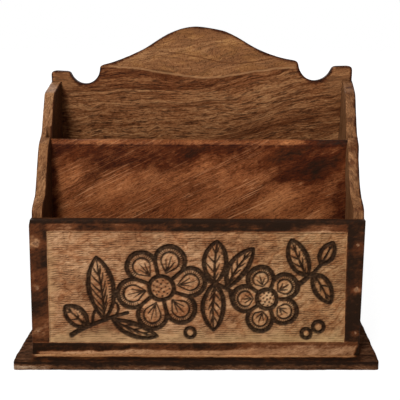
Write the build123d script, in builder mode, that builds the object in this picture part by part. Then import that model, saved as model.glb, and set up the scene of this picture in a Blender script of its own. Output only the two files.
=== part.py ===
from build123d import *
import math
import os

# A wooden desk-top letter rack: a box of two compartments, open at the top, on a wider base board.
# Millimetres. +Z is up, the front panel faces -Y, and +X is to the right seen from the front.
# The origin is the middle of the base board's underside.

# Box, without the base board's overhang
box_width = 240.0
box_depth = 120.0

# Base board
base_thickness = 7.0
side_overhang = 12.0
front_overhang = 12.0

# Thickness of the standing boards
front_thickness = 8.0
back_thickness = 8.0
side_thickness = 8.0
divider_thickness = 8.0

# Front panel and the shallow field sunk into its face
front_height = 101.0
field_side_margin = 12.0
field_top_margin = 8.5
field_bottom_margin = 8.5
field_depth = 1.2

# Carving in the field: a branch with leaves, two open flowers and berries, as grooves of one depth.
# It is drawn about the field's middle at the size given here, and shrinks with too small a field.
carving_width = 200.0
carving_height = 74.0
carving_margin = 5.0
carving_depth = 1.1
outline_cut = 3.0
vein_cut = 1.6
# Stems: start, a point on the way, end
stems = [
    ((-92, -36), (-72, -26), (-51, -19)),
    ((5, 7), (17, 2), (27, -4)),
    ((74, 3), (83, 11), (91, 19)),
]
# Leaves: start, tip, and how far the left and the right side stand off the line between them
leaves = [
    ((-80, -30), (-97, -14), 6.0, 6.0),
    ((-68, -24), (-73, 23), 8.0, 10.0),
    ((-62, -24), (-29, -37), 3.0, 6.0),
    ((13, 4), (15, 35), 9.0, 7.0),
    ((13, 4), (12, -32), 7.0, 8.0),
    ((22, 0), (41, 30), 8.0, 4.0),
    ((80, 9), (68, 36), 7.0, 6.0),
    ((90, 18), (98, 34), 4.5, 5.0),
    ((84, 11), (97, -11), 7.0, 5.0),
]
# Flowers: middle, radius, number of petals, turn in degrees
flowers = [
    ((-26, 0), 32.0, 6, 12.0),
    ((51, -8), 25.0, 5, 36.0),
]
# Radius of a flower's disc, as a share of the flower's
flower_disc = 0.28
# Berries: middle, radius
berries = [
    ((80, -34), 3.4),
    ((89, -29), 4.0),
    ((-5, -34), 3.6),
]

# Divider, housed in a groove in each side board
front_compartment = 45.0
divider_height = 152.0
divider_round = 3.5
groove_depth = 4.0
groove_clearance = 0.1

# Side boards, whose front edge climbs to the back in steps: each riser is steep and each tread gentle
first_riser_rise = 7.0
first_tread_run = 15.0
first_tread_rise = 6.0
second_riser_ahead_of_divider = 9.5
second_riser_below_divider = 2.5
second_tread_run = 14.5
second_tread_rise = 7.0
third_riser_run = 18.5
third_riser_below_top = 6.0
side_back_height = 192.0
outer_step_round = 7.0
inner_step_round = 5.0

# Back panel: two ears, two round notches and a crest between two shoulders.
# It is sawn by eye, so its left and its right differ. Heights are above the base board.
notch_inset = 27.0
left_ear_height = 200.5
left_notch_floor = 190.2
left_notch_radius = 12.0
left_shoulder_height = 205.2
right_ear_height = 205.2
right_edge_overhang = 2.0
right_notch_floor = 193.5
right_notch_radius = 13.8
right_shoulder_height = 209.0
tip_round = 1.2
crest_height = 236.4
# Points on the crest, as shares of the way from shoulder to shoulder and of the climb to the top
crest_curve = [
    (0.12, 0.18),
    (0.28, 0.60),
    (0.38, 0.89),
    (0.475, 1.0),
    (0.58, 0.94),
    (0.64, 0.86),
    (0.79, 0.44),
    (0.88, 0.26),
]

# Rounded arrises
board_arris = 0.8
base_arris = 1.2

# Brads that hold the front and the back panel to the side boards, their heads set and filled over
brad_length = 25.0
brad_diameter = 1.4
brad_tip_length = 2.0
brad_head_diameter = 2.4
brad_head_thickness = 0.8
brad_set = 1.0
brad_end_distance = 17.5
front_brads_a_side = 3
back_brads_a_side = 4

# Countersunk screws up through the base board
screw_length = 20.0
screw_diameter = 3.0
screw_tip_length = 3.0
screw_head_diameter = 5.6
screw_head_height = 1.6
screw_set = 0.4
side_screw_inset = 24.0
cross_screw_spacing = 120.0

# Clearance around each fastener
fastener_clearance = 0.05

# Places that follow from the sizes above
base_width = box_width + 2 * side_overhang
base_depth = box_depth + front_overhang
floor_z = base_thickness
front_face_y = front_overhang - base_depth / 2
front_inner_y = front_face_y + front_thickness
front_top_z = floor_z + front_height
back_face_y = front_face_y + box_depth
back_inner_y = back_face_y - back_thickness
side_outer_x = box_width / 2
side_inner_x = side_outer_x - side_thickness
side_middle_x = side_outer_x - side_thickness / 2
side_back_z = floor_z + side_back_height
divider_front_y = front_inner_y + front_compartment
divider_middle_y = divider_front_y + divider_thickness / 2
divider_top_z = floor_z + divider_height

STANDING = (Align.CENTER, Align.CENTER, Align.MIN)


def spread(first, last, count):
    """Evenly spaced values from first to last."""
    return [first + (last - first) * i / (count - 1) for i in range(count)]


def brad_planes(face_y, inward, top_z, count):
    """One plane for each brad of a panel, on the panel's outer face and facing into it."""
    heights = spread(floor_z + brad_end_distance, top_z - brad_end_distance, count)
    return [
        Plane(origin=(x, face_y, z), x_dir=(1, 0, 0), z_dir=(0, inward, 0))
        for x in (-side_middle_x, side_middle_x)
        for z in heights
    ]


def deeper(planes, depth):
    """The same planes, moved inwards by depth."""
    return [plane.offset(depth) for plane in planes]


def make_brads(planes):
    """A brad at each plane, its head set below the surface."""
    head_end = brad_set + brad_head_thickness
    shank_end = brad_set + brad_length - brad_tip_length
    with Locations(*deeper(planes, brad_set)):
        Cylinder(brad_head_diameter / 2, brad_head_thickness, align=STANDING)
    with Locations(*deeper(planes, head_end)):
        Cylinder(brad_diameter / 2, shank_end - head_end, align=STANDING)
    with Locations(*deeper(planes, shank_end)):
        Cone(brad_diameter / 2, 0, brad_tip_length, align=STANDING)


def make_filler(planes):
    """A plug of filler over each brad's head, flush with the surface."""
    with Locations(*planes):
        Cylinder(brad_head_diameter / 2, brad_set, align=STANDING)


def cut_for_brads(planes):
    """The hole of each brad, wider at the surface for its head and its filler."""
    with Locations(*planes):
        Cylinder(
            brad_head_diameter / 2 + fastener_clearance,
            brad_set + brad_head_thickness,
            align=STANDING,
            mode=Mode.SUBTRACT,
        )
        Cylinder(
            brad_diameter / 2 + fastener_clearance,
            brad_set + brad_length,
            align=STANDING,
            mode=Mode.SUBTRACT,
        )


def make_screws(planes):
    """A countersunk screw at each plane, its head just under the surface."""
    head_end = screw_set + screw_head_height
    shank_end = screw_set + screw_length - screw_tip_length
    with Locations(*deeper(planes, screw_set)):
        Cone(screw_head_diameter / 2, screw_diameter / 2, screw_head_height, align=STANDING)
    with Locations(*deeper(planes, head_end)):
        Cylinder(screw_diameter / 2, shank_end - head_end, align=STANDING)
    with Locations(*deeper(planes, shank_end)):
        Cone(screw_diameter / 2, 0, screw_tip_length, align=STANDING)


def cut_for_screws(planes):
    """The hole and the countersink of each screw."""
    widening = (screw_head_diameter - screw_diameter) / 2
    mouth = screw_head_diameter / 2 + widening * screw_set / screw_head_height
    with Locations(*planes):
        Cone(
            mouth + fastener_clearance,
            screw_diameter / 2 + fastener_clearance,
            screw_set + screw_head_height,
            align=STANDING,
            mode=Mode.SUBTRACT,
        )
        Cylinder(
            screw_diameter / 2 + fastener_clearance,
            screw_set + screw_length,
            align=STANDING,
            mode=Mode.SUBTRACT,
        )


front_brad_planes = brad_planes(front_face_y, 1, front_top_z, front_brads_a_side)
back_brad_planes = brad_planes(back_face_y, -1, side_back_z, back_brads_a_side)

side_screw_places = [
    (x, y)
    for x in (-side_middle_x, side_middle_x)
    for y in (front_inner_y + side_screw_inset, back_inner_y - side_screw_inset)
]
cross_screw_places = [
    (x, y)
    for x in (-cross_screw_spacing / 2, cross_screw_spacing / 2)
    for y in (
        front_face_y + front_thickness / 2,
        divider_middle_y,
        back_face_y - back_thickness / 2,
    )
]
screw_planes = [Plane(origin=(x, y, 0)) for x, y in side_screw_places + cross_screw_places]



def polar(middle, radius, angle):
    """The point at a distance and an angle, in radians, from a middle."""
    return middle + Vector(radius * math.cos(angle), radius * math.sin(angle))


def bowed(start, tip, bulge):
    """An arc from start to tip that stands off the line between them, to the left if bulge is positive."""
    side = (tip - start).rotate(Axis.Z, 90).normalized()
    if bulge:
        ThreePointArc(start, (start + tip) / 2 + side * bulge, tip)
    else:
        Line(start, tip)


def cut_ring(middle, radius, width):
    """A round groove."""
    with Locations(middle):
        Circle(radius + width / 2)
        Circle(radius - width / 2, mode=Mode.SUBTRACT)


def cut_stem(points, size):
    """A groove along an arc through three points."""
    with BuildLine() as path:
        ThreePointArc(*[Vector(*point) * size for point in points])
    trace(path.line, line_width=outline_cut)


def cut_leaf(start, tip, left, right, size):
    """Two bowed sides and a thinner midrib."""
    start, tip = Vector(*start) * size, Vector(*tip) * size
    for bulge, width in ((left, outline_cut), (-right, outline_cut), ((left - right) / 2, vein_cut)):
        with BuildLine() as path:
            bowed(start, tip, bulge * size)
        trace(path.line, line_width=width)


def cut_flower(middle, radius, petals, turn, size):
    """Petals that touch one another, each a round end on two straight sides, about a disc."""
    middle, radius = Vector(*middle) * size, radius * size
    half = math.pi / petals
    touch = radius * math.cos(half) / (1 + math.sin(half))
    for index in range(petals):
        angle = math.radians(turn) + 2 * half * index
        with BuildLine() as side:
            Line(polar(middle, radius * flower_disc, angle - half), polar(middle, touch, angle - half))
        trace(side.line, line_width=outline_cut)
        with BuildLine() as end:
            ThreePointArc(
                polar(middle, touch, angle - half),
                polar(middle, radius, angle),
                polar(middle, touch, angle + half),
            )
        trace(end.line, line_width=outline_cut)
    cut_ring(middle, radius * flower_disc, outline_cut)


# Base board
with BuildPart() as base_board:
    with BuildSketch(Plane.XY):
        Rectangle(base_width, base_depth)
    extrude(amount=base_thickness)
    fillet(base_board.edges().filter_by(Axis.Z), radius=base_arris)
    fillet(base_board.faces().sort_by(Axis.Z)[-1].edges(), radius=base_arris)
    cut_for_screws(screw_planes)

# Front panel, with the sunk field
field_width = box_width - 2 * field_side_margin
field_height = front_height - field_top_margin - field_bottom_margin
field_middle_z = floor_z + field_bottom_margin + field_height / 2
carving_size = min(
    1,
    (field_width - 2 * carving_margin) / carving_width,
    (field_height - 2 * carving_margin) / carving_height,
)
front_plane = Plane.XZ.offset(-front_face_y)
field_plane = Plane(origin=(0, front_face_y + field_depth, field_middle_z), x_dir=(1, 0, 0), z_dir=(0, -1, 0))
with BuildPart() as front_panel:
    with BuildSketch(front_plane):
        with Locations((0, floor_z + front_height / 2)):
            Rectangle(box_width, front_height)
    extrude(amount=-front_thickness)
    outer_face = front_panel.faces().sort_by(Axis.Y)[0]
    top_face = front_panel.faces().sort_by(Axis.Z)[-1]
    fillet(
        outer_face.edges().filter_by(Axis.Z) + top_face.edges().filter_by(Axis.X),
        radius=board_arris,
    )
    with BuildSketch(front_plane):
        with Locations((0, field_middle_z)):
            Rectangle(field_width, field_height)
    extrude(amount=-field_depth, mode=Mode.SUBTRACT)
    with BuildSketch(field_plane):
        for points in stems:
            cut_stem(points, carving_size)
        for start, tip, left, right in leaves:
            cut_leaf(start, tip, left, right, carving_size)
        for middle, radius, petals, turn in flowers:
            cut_flower(middle, radius, petals, turn, carving_size)
        for middle, radius in berries:
            cut_ring(Vector(*middle) * carving_size, radius * carving_size, outline_cut)
    extrude(amount=-carving_depth, mode=Mode.SUBTRACT)
    cut_for_brads(front_brad_planes)
    cut_for_screws(screw_planes)

# Back panel
left_notch_x = notch_inset - side_outer_x
right_notch_x = side_outer_x - notch_inset
left_notch_z = floor_z + left_notch_floor + left_notch_radius
right_notch_z = floor_z + right_notch_floor + right_notch_radius
left_ear_z = floor_z + left_ear_height
right_ear_z = floor_z + right_ear_height
back_right_x = side_outer_x + right_edge_overhang
left_shoulder = (left_notch_x + left_notch_radius, floor_z + left_shoulder_height)
right_shoulder = (right_notch_x - right_notch_radius, floor_z + right_shoulder_height)
crest_points = [
    (
        left_shoulder[0] + across * (right_shoulder[0] - left_shoulder[0]),
        left_shoulder[1] + climb * (crest_height - left_shoulder_height),
    )
    for across, climb in crest_curve
]
sawn_tips = [
    (-side_outer_x, left_ear_z),
    (left_notch_x - left_notch_radius, left_ear_z),
    left_shoulder,
    right_shoulder,
    (right_notch_x + right_notch_radius, right_ear_z),
    (back_right_x, right_ear_z),
]
with BuildPart() as back_panel:
    with BuildSketch(Plane.XZ.offset(-back_face_y)) as back_outline:
        with BuildLine():
            Spline(left_shoulder, *crest_points, right_shoulder)
            Polyline(
                right_shoulder,
                (right_shoulder[0], right_notch_z),
                (right_notch_x, right_ear_z),
                (back_right_x, right_ear_z),
                (back_right_x, floor_z),
                (-side_outer_x, floor_z),
                (-side_outer_x, left_ear_z),
                (left_notch_x, left_ear_z),
                (left_shoulder[0], left_notch_z),
                left_shoulder,
            )
        make_face()
        with Locations((left_notch_x, left_notch_z)):
            Circle(left_notch_radius, mode=Mode.SUBTRACT)
        with Locations((right_notch_x, right_notch_z)):
            Circle(right_notch_radius, mode=Mode.SUBTRACT)
        for tip in sawn_tips:
            fillet(back_outline.vertices().sort_by_distance(tip)[0], radius=tip_round)
    extrude(amount=back_thickness)
    sawn_edges = back_panel.faces().filter_by(Axis.Y).edges()
    fillet(
        sawn_edges.filter_by(lambda edge: edge.center().Z > floor_z + board_arris),
        radius=board_arris,
    )
    cut_for_brads(back_brad_planes)
    cut_for_screws(screw_planes)

# Side boards: the right one mirrors the left
second_riser_top_y = divider_front_y - second_riser_ahead_of_divider
step_corners = [
    (front_inner_y, floor_z),
    (front_inner_y, front_top_z + first_riser_rise),
    (
        front_inner_y + first_tread_run,
        front_top_z + first_riser_rise + first_tread_rise,
    ),
    (second_riser_top_y, divider_top_z - second_riser_below_divider),
    (
        second_riser_top_y + second_tread_run,
        divider_top_z - second_riser_below_divider + second_tread_rise,
    ),
    (
        second_riser_top_y + second_tread_run + third_riser_run,
        side_back_z - third_riser_below_top,
    ),
    (back_inner_y, side_back_z),
]
step_rounds = [
    outer_step_round,
    inner_step_round,
    outer_step_round,
    inner_step_round,
    outer_step_round,
]
with BuildPart() as left_side:
    with BuildSketch(Plane.YZ.offset(-side_outer_x)):
        with BuildLine():
            FilletPolyline(*step_corners, radius=step_rounds)
            Polyline((back_inner_y, side_back_z), (back_inner_y, floor_z), (front_inner_y, floor_z))
        make_face()
    extrude(amount=side_thickness)
    sawn_edges = left_side.faces().filter_by(Axis.X).edges()
    fillet(
        sawn_edges.filter_by(
            lambda edge: edge.center().Z > floor_z + board_arris
            and edge.center().Y < back_inner_y - board_arris
        ),
        radius=board_arris,
    )
    with Locations((-side_inner_x, divider_middle_y, floor_z)):
        Box(
            2 * groove_depth,
            divider_thickness + 2 * groove_clearance,
            side_back_height,
            align=STANDING,
            mode=Mode.SUBTRACT,
        )
    cut_for_brads(front_brad_planes)
    cut_for_brads(back_brad_planes)
    cut_for_screws(screw_planes)

with BuildPart() as right_side:
    mirror(left_side.part, about=Plane.YZ)


def edges_along_top(board):
    """The long edges of a board's top face, front edge first."""
    return board.faces().sort_by(Axis.Z)[-1].edges().filter_by(Axis.X).sort_by(Axis.Y)


# Divider
divider_width = 2 * (side_inner_x + groove_depth - groove_clearance)
with BuildPart() as divider:
    with BuildSketch(Plane.XZ.offset(-divider_front_y)):
        with Locations((0, floor_z + divider_height / 2)):
            Rectangle(divider_width, divider_height)
    extrude(amount=-divider_thickness)
    fillet(edges_along_top(divider)[-1], radius=board_arris)
    fillet(edges_along_top(divider)[0], radius=divider_round)
    cut_for_screws(screw_planes)

# Fasteners
with BuildPart() as front_nails:
    make_brads(front_brad_planes)

with BuildPart() as front_nail_filler:
    make_filler(front_brad_planes)

with BuildPart() as back_nails:
    make_brads(back_brad_planes)

with BuildPart() as back_nail_filler:
    make_filler(back_brad_planes)

with BuildPart() as base_screws:
    make_screws(screw_planes)

# One file for each piece
pieces = {
    "base_board": base_board,
    "front_panel": front_panel,
    "back_panel": back_panel,
    "left_side": left_side,
    "right_side": right_side,
    "divider": divider,
    "front_nails": front_nails,
    "front_nail_filler": front_nail_filler,
    "back_nails": back_nails,
    "back_nail_filler": back_nail_filler,
    "base_screws": base_screws,
}
os.makedirs("parts", exist_ok=True)
for name, piece in pieces.items():
    piece.part.label = name
    export_step(piece.part, f"parts/{name}.step")
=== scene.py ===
"""A scorched wooden letter rack: worn boards, a carved front panel and soft studio light.

Meshes are worked out in millimetres and written in metres.
"""

import math
from collections import namedtuple
from itertools import product

import bpy
import numpy as np
from mathutils import Matrix, Vector
from mathutils.geometry import delaunay_2d_cdt
from mathutils.kdtree import KDTree


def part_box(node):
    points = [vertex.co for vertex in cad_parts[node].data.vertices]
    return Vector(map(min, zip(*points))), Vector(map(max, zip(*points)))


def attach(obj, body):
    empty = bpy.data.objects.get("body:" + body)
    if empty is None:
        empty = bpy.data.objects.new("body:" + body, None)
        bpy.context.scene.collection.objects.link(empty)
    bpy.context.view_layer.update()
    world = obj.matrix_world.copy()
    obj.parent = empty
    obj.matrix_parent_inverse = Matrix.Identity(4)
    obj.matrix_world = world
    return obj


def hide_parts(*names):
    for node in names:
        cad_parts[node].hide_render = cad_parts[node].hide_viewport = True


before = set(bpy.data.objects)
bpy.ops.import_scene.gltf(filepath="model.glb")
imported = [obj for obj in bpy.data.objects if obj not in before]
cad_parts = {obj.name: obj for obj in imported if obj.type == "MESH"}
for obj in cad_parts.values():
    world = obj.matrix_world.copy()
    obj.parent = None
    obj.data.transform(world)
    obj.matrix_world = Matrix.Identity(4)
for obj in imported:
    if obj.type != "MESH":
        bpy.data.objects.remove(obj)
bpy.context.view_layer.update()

MM = 0.001
X_AXIS = np.array([1.0, 0.0, 0.0])
Y_AXIS = np.array([0.0, 1.0, 0.0])
Z_AXIS = np.array([0.0, 0.0, 1.0])


# Small tools for numbers


def box_mm(node):
    """Lowest and highest corner of a CAD node, in millimetres."""
    low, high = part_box(node)
    return np.array(low) / MM, np.array(high) / MM


def ramp(low, high, value):
    """0 below low, 1 above high, and a smooth ramp between. low may be above high."""
    t = np.clip((value - low) / (high - low), 0.0, 1.0)
    return t * t * (3 - 2 * t)


NOISE_VALUES = np.random.default_rng(seed=11).random(size=8192)
NOISE_PRIMES = np.array([73856093, 19349663, 83492791])
SEED_STRIDE = 7919


def noise(points, size, seed):
    """Smooth noise from -1 to 1 at each point. size is how long its features are along each axis."""
    cells = np.asarray(points) / np.asarray(size, float)
    low = np.floor(cells).astype(np.int64)
    t = cells - low
    t = t * t * (3 - 2 * t)
    primes = NOISE_PRIMES[: cells.shape[1]]
    total = np.zeros(len(cells))
    for corner in product((0, 1), repeat=cells.shape[1]):
        weight = np.where(corner, t, 1 - t).prod(axis=1)
        key = ((low + np.array(corner)) * primes).sum(axis=1) + SEED_STRIDE * seed
        total += weight * NOISE_VALUES[key % len(NOISE_VALUES)]
    return 2 * total - 1


def steps(low, high, longest):
    """Evenly spaced values from low to high, no further apart than longest, without the last one."""
    count = max(1, math.ceil(abs(high - low) / longest - 1e-9))
    return list(np.linspace(low, high, count, endpoint=False))


def between(value, low, high, soft):
    """1 from low to high, falling to 0 over a soft stretch outside them."""
    return ramp(low - soft, low, value) * ramp(high + soft, high, value)


def spot(points, middle, halves):
    """1 at the middle, fading out in a soft oval of the given half widths."""
    return np.exp(-(((points - middle) / halves) ** 2).sum(axis=1))


def circle(sides):
    """Evenly spaced points of the unit circle."""
    around = np.linspace(0, 2 * math.pi, sides, endpoint=False)
    return np.column_stack([np.cos(around), np.sin(around)])


# Meshes

# Points of a CAD node that lie closer than this belong to one solid
SOLID_REACH = 6.0


def new_piece(name, points, faces, smooth=True):
    """A mesh object from points in millimetres."""
    mesh = bpy.data.meshes.new(name)
    mesh.from_pydata((np.asarray(points) * MM).tolist(), [], faces)
    mesh.update()
    if smooth:
        mesh.shade_smooth()
    piece = bpy.data.objects.new(name, mesh)
    bpy.context.scene.collection.objects.link(piece)
    return piece


def store(piece, attribute, values):
    """Keeps a number for each of the piece's points, for its material."""
    layer = piece.data.attributes.new(attribute, "FLOAT", "POINT")
    layer.data.foreach_set("value", np.asarray(values, np.float32))


def points_mm(piece):
    """The piece's points, in millimetres."""
    flat = np.zeros(len(piece.data.vertices) * 3, np.float32)
    piece.data.vertices.foreach_get("co", flat)
    return flat.reshape(-1, 3).astype(float) / MM


def clusters(node, axes=(0, 1, 2)):
    """Middles of a CAD node's separate solids, in millimetres, told apart along the given axes."""
    groups = []
    for point in points_mm(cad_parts[node]):
        for group in groups:
            if np.linalg.norm((group[0] - point)[list(axes)]) < SOLID_REACH:
                group.append(point)
                break
        else:
            groups.append([point])
    return [(np.min(group, axis=0) + np.max(group, axis=0)) / 2 for group in groups]


def shift(piece, move):
    """Moves the piece's points by what move gives for them: millimetres along x, y and z."""
    points = points_mm(piece)
    points += np.column_stack(np.broadcast_arrays(*move(*points.T)))
    piece.data.vertices.foreach_set("co", (points * MM).astype(np.float32).ravel())
    piece.data.update()


def dress(piece, material, slot, *nodes):
    """Gives a new piece its material and its body, and hides the CAD nodes that it stands for. slot is not
    used.
    """
    piece.data.materials.append(material)
    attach(piece, "root")
    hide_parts(*nodes)


def cut_away(piece, cutter):
    """Takes the cutter's volume out of the piece, and removes the cutter."""
    modifier = piece.modifiers.new("cut", "BOOLEAN")
    modifier.operation = "DIFFERENCE"
    modifier.solver = "EXACT"
    modifier.object = cutter
    bpy.context.view_layer.update()
    evaluated = piece.evaluated_get(bpy.context.evaluated_depsgraph_get())
    mesh = bpy.data.meshes.new_from_object(evaluated)
    piece.modifiers.clear()
    piece.data = mesh
    bpy.data.objects.remove(cutter)


# Boards, each worked out in its own plane: a and b lie in its outer face, and depth goes into it

# A corner that turns by more than this, in radians, stays sharp
SHARP_TURN = 0.6
LEVEL_TOLERANCE = 0.002
OUTLINE_SPACING = 1.1
OUTLINE_ROUNDS = 4
RIM_SPACING = 0.8
NET_SPACING = 2.2
# How near the outline the net's own points come, as a share of their spacing
NET_GAP = 0.55
# For the filling tool: only triangles within the outline, and how close two points count as one
INNER_TRIANGLES = 1
SAME_POINT = 1e-7
ARC_TURNS = np.radians([0, 30, 60, 90])
WALL_SHARES = (0.2, 0.4, 0.6, 0.8)
SAW_DEPTH = 0.12


class Face:
    """The plane of the face that a board is drawn on, with a times b pointing out of the board."""

    def __init__(self, origin, along_a, along_b, inward):
        self.origin = np.asarray(origin, float)
        self.axes = np.array([along_a, along_b, inward], float)

    def place(self, flat):
        """Points of the row frame from (a, b, depth)."""
        return self.origin + np.asarray(flat) @ self.axes

    def flatten(self, points):
        """(a, b) of points of the row frame."""
        return (points - self.origin) @ self.axes[:2].T


def outline_at(node, axis, level, face):
    """The open chain of the CAD mesh's edges that lie at one level of an axis, as (a, b) of the face."""
    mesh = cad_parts[node].data
    corners = points_mm(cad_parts[node])
    at_level = np.abs(corners[:, axis] - level) < LEVEL_TOLERANCE
    flat = np.round(face.flatten(corners), 3)
    links = {}
    for edge in mesh.edges:
        first, second = edge.vertices
        if at_level[first] and at_level[second]:
            p, q = tuple(flat[first]), tuple(flat[second])
            if p != q:
                links.setdefault(p, set()).add(q)
                links.setdefault(q, set()).add(p)
    start = min(p for p in links if len(links[p]) == 1)
    chain = [start]
    seen = {start}
    while True:
        onward = [q for q in links[chain[-1]] if q not in seen]
        if not onward:
            return np.array(chain)
        chain.append(onward[0])
        seen.add(onward[0])


def filled_loop(corners, spacing):
    """The closed outline as evenly spaced points, counter-clockwise, with its sharp corners kept."""
    following = np.roll(corners, -1, axis=0)
    area = (corners[:, 0] * following[:, 1] - following[:, 0] * corners[:, 1]).sum()
    if area < 0:
        corners = corners[::-1]
    ahead = np.roll(corners, -1, axis=0) - corners
    heading = np.arctan2(ahead[:, 1], ahead[:, 0])
    turn = (heading - np.roll(heading, 1) + math.pi) % (2 * math.pi) - math.pi
    sharp = np.flatnonzero(np.abs(turn) > SHARP_TURN)
    corners = np.roll(corners, -sharp[0], axis=0)
    ends = [*(sharp - sharp[0]), len(corners)]
    corners = np.vstack([corners, corners[:1]])
    found = []
    for first, last in zip(ends, ends[1:]):
        stretch = corners[first : last + 1]
        lengths = np.linalg.norm(np.diff(stretch, axis=0), axis=1)
        along = np.concatenate([[0.0], np.cumsum(lengths)])
        at = np.linspace(0, along[-1], max(2, round(along[-1] / spacing) + 1))[:-1]
        found.append(np.column_stack([np.interp(at, along, places) for places in stretch.T]))
    return np.vstack(found)


def outward(loop):
    """The outward unit normal at each point of a counter-clockwise loop."""
    tangent = np.roll(loop, -1, axis=0) - np.roll(loop, 1, axis=0)
    tangent /= np.linalg.norm(tangent, axis=1)[:, None]
    return np.stack([tangent[:, 1], -tangent[:, 0]], axis=1)


def inside(points, loop):
    """True for each point within the closed loop."""
    found = np.zeros(len(points), bool)
    for (x0, y0), (x1, y1) in zip(loop, np.roll(loop, -1, axis=0)):
        if y0 != y1:
            crosses = (points[:, 1] > y0) != (points[:, 1] > y1)
            at = x0 + (points[:, 1] - y0) * (x1 - x0) / (y1 - y0)
            found ^= crosses & (points[:, 0] < at)
    return found


def distance_to(points, targets):
    """How far each flat point lies from the nearest target."""
    tree = KDTree(len(targets))
    for index, target in enumerate(targets):
        tree.insert((*target, 0.0), index)
    tree.balance()
    return np.array([tree.find((*point, 0.0))[2] for point in points])


def cap(loop, spacing=NET_SPACING):
    """Fills a loop with a triangle net: (inner points, triangles over the loop and those points)."""
    low, high = loop.min(axis=0), loop.max(axis=0)
    rows = np.arange(low[1] + spacing / 2, high[1], spacing * math.sqrt(0.75))
    net = [
        (x + spacing / 2 * (index % 2), y)
        for index, y in enumerate(rows)
        for x in np.arange(low[0] + spacing / 4, high[0], spacing)
    ]
    net = np.array(net)
    net = net[inside(net, loop)]
    net = net[distance_to(net, loop) > NET_GAP * spacing]
    points = [Vector(p) for p in np.vstack([loop, net])]
    outline = [range(len(loop))]
    _, _, triangles, origins, _, _ = delaunay_2d_cdt(points, [], outline, INNER_TRIANGLES, SAME_POINT)
    return net, [[origins[i][0] for i in triangle] for triangle in triangles]


def with_depth(flat, depth):
    """(a, b, depth) of flat points, with one depth for all of them or one for each."""
    return np.column_stack([flat, np.broadcast_to(depth, len(flat))])


def rings_between(loop, normals, thickness, front_round, back_round, saw_marks):
    """Rings of (a, b, depth) from the outer face's edge, over both arrises, to the inner face's."""
    wall = thickness - front_round - back_round
    arc = [(1 - np.sin(turn), 1 - np.cos(turn)) for turn in ARC_TURNS]
    places = [(-front_round * inset, front_round * fall) for inset, fall in arc]
    places += [(mark, front_round + wall * share) for mark, share in zip(saw_marks, WALL_SHARES)]
    places += [(-back_round * inset, thickness - back_round * fall) for inset, fall in arc[::-1]]
    return [with_depth(loop + normals * out[:, None], depth) for out, depth in places]


def neighbours(numbers):
    """Each point number of a ring with the one after it, the last with the first."""
    return zip(numbers, numbers[1:] + numbers[:1])


def band(before, after):
    """Faces between two rings of point numbers."""
    return [[p, q, s, r] for (p, r), (q, s) in zip(neighbours(before), neighbours(after))]


def joined(front_points, front_faces, border, rings, spacing=NET_SPACING):
    """Points and faces of a closed board: its outer face, the rings after it and a filled inner face.

    border lists the outer face's own points that are the first ring."""
    points = [front_points]
    faces = list(front_faces)
    before = list(border)
    total = len(front_points)
    for ring_points in rings:
        after = list(range(total, total + len(before)))
        faces += band(before, after)
        points.append(ring_points)
        before = after
        total += len(before)
    net, triangles = cap(rings[-1][:, :2], spacing)
    lookup = before + list(range(total, total + len(net)))
    faces += [[lookup[i] for i in triangle[::-1]] for triangle in triangles]
    points.append(with_depth(net, rings[-1][:, 2].max()))
    return np.vstack(points), faces


def board(name, face, corners, thickness, free, rounds, seed, wander=0.25):
    """A board cut to an outline, with hand-worn arrises.

    free gives, for each point of the outline, 1 where its edge shows and 0 where it meets a board.
    rounds gives the arris radius at the outer and at the inner face, for each point. wander is how far
    the sawn edge strays, in millimetres."""
    loop = filled_loop(corners, OUTLINE_SPACING)
    shows = free(loop)
    for _ in range(OUTLINE_ROUNDS):
        beside = (np.roll(loop, 1, axis=0) + np.roll(loop, -1, axis=0)) / 2
        loop = loop + (beside - loop) * 0.6 * shows[:, None]
    normals = outward(loop)
    loop = loop + normals * (shows * wander * noise(loop, (9.0, 9.0), seed))[:, None]
    front_round, back_round = rounds(loop, normals)
    wear = 1 + shows * (0.45 * noise(loop, (6.0, 6.0), seed + 1) + 0.25 * noise(loop, (2.0, 2.0), seed + 2))
    front_round = front_round * wear
    back_round = back_round * (2 - wear).clip(0.5, 1.6)
    saw_marks = [
        shows * SAW_DEPTH * noise(with_depth(loop, 10 * share), (3.0, 3.0, 2.0), seed + 3)
        for share in WALL_SHARES
    ]
    rings = rings_between(loop, normals, thickness, front_round, back_round, saw_marks)
    net, triangles = cap(rings[0][:, :2])
    front = np.vstack([rings[0], with_depth(net, 0)])
    points, faces = joined(front, triangles, range(len(loop)), rings[1:])
    return new_piece(name, face.place(points), faces)


def rectangle(low, high):
    """A plain board's outline from two opposite corners, counter-clockwise."""
    return np.array([low, (high[0], low[1]), high, (low[0], high[1])])


def block(name, low, high):
    """A plain box, used only to cut with."""
    faces = [[0, 1, 3, 2], [4, 6, 7, 5], [0, 4, 5, 1], [2, 3, 7, 6], [0, 2, 6, 4], [1, 5, 7, 3]]
    return new_piece(name, list(product(*zip(low, high))), faces, smooth=False)


# Shader arithmetic

# Sockets of a node that mixes colours: its share, its two colours and its result
MIX_SHARE, MIX_FIRST, MIX_SECOND, MIX_RESULT = 0, 6, 7, 2


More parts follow.
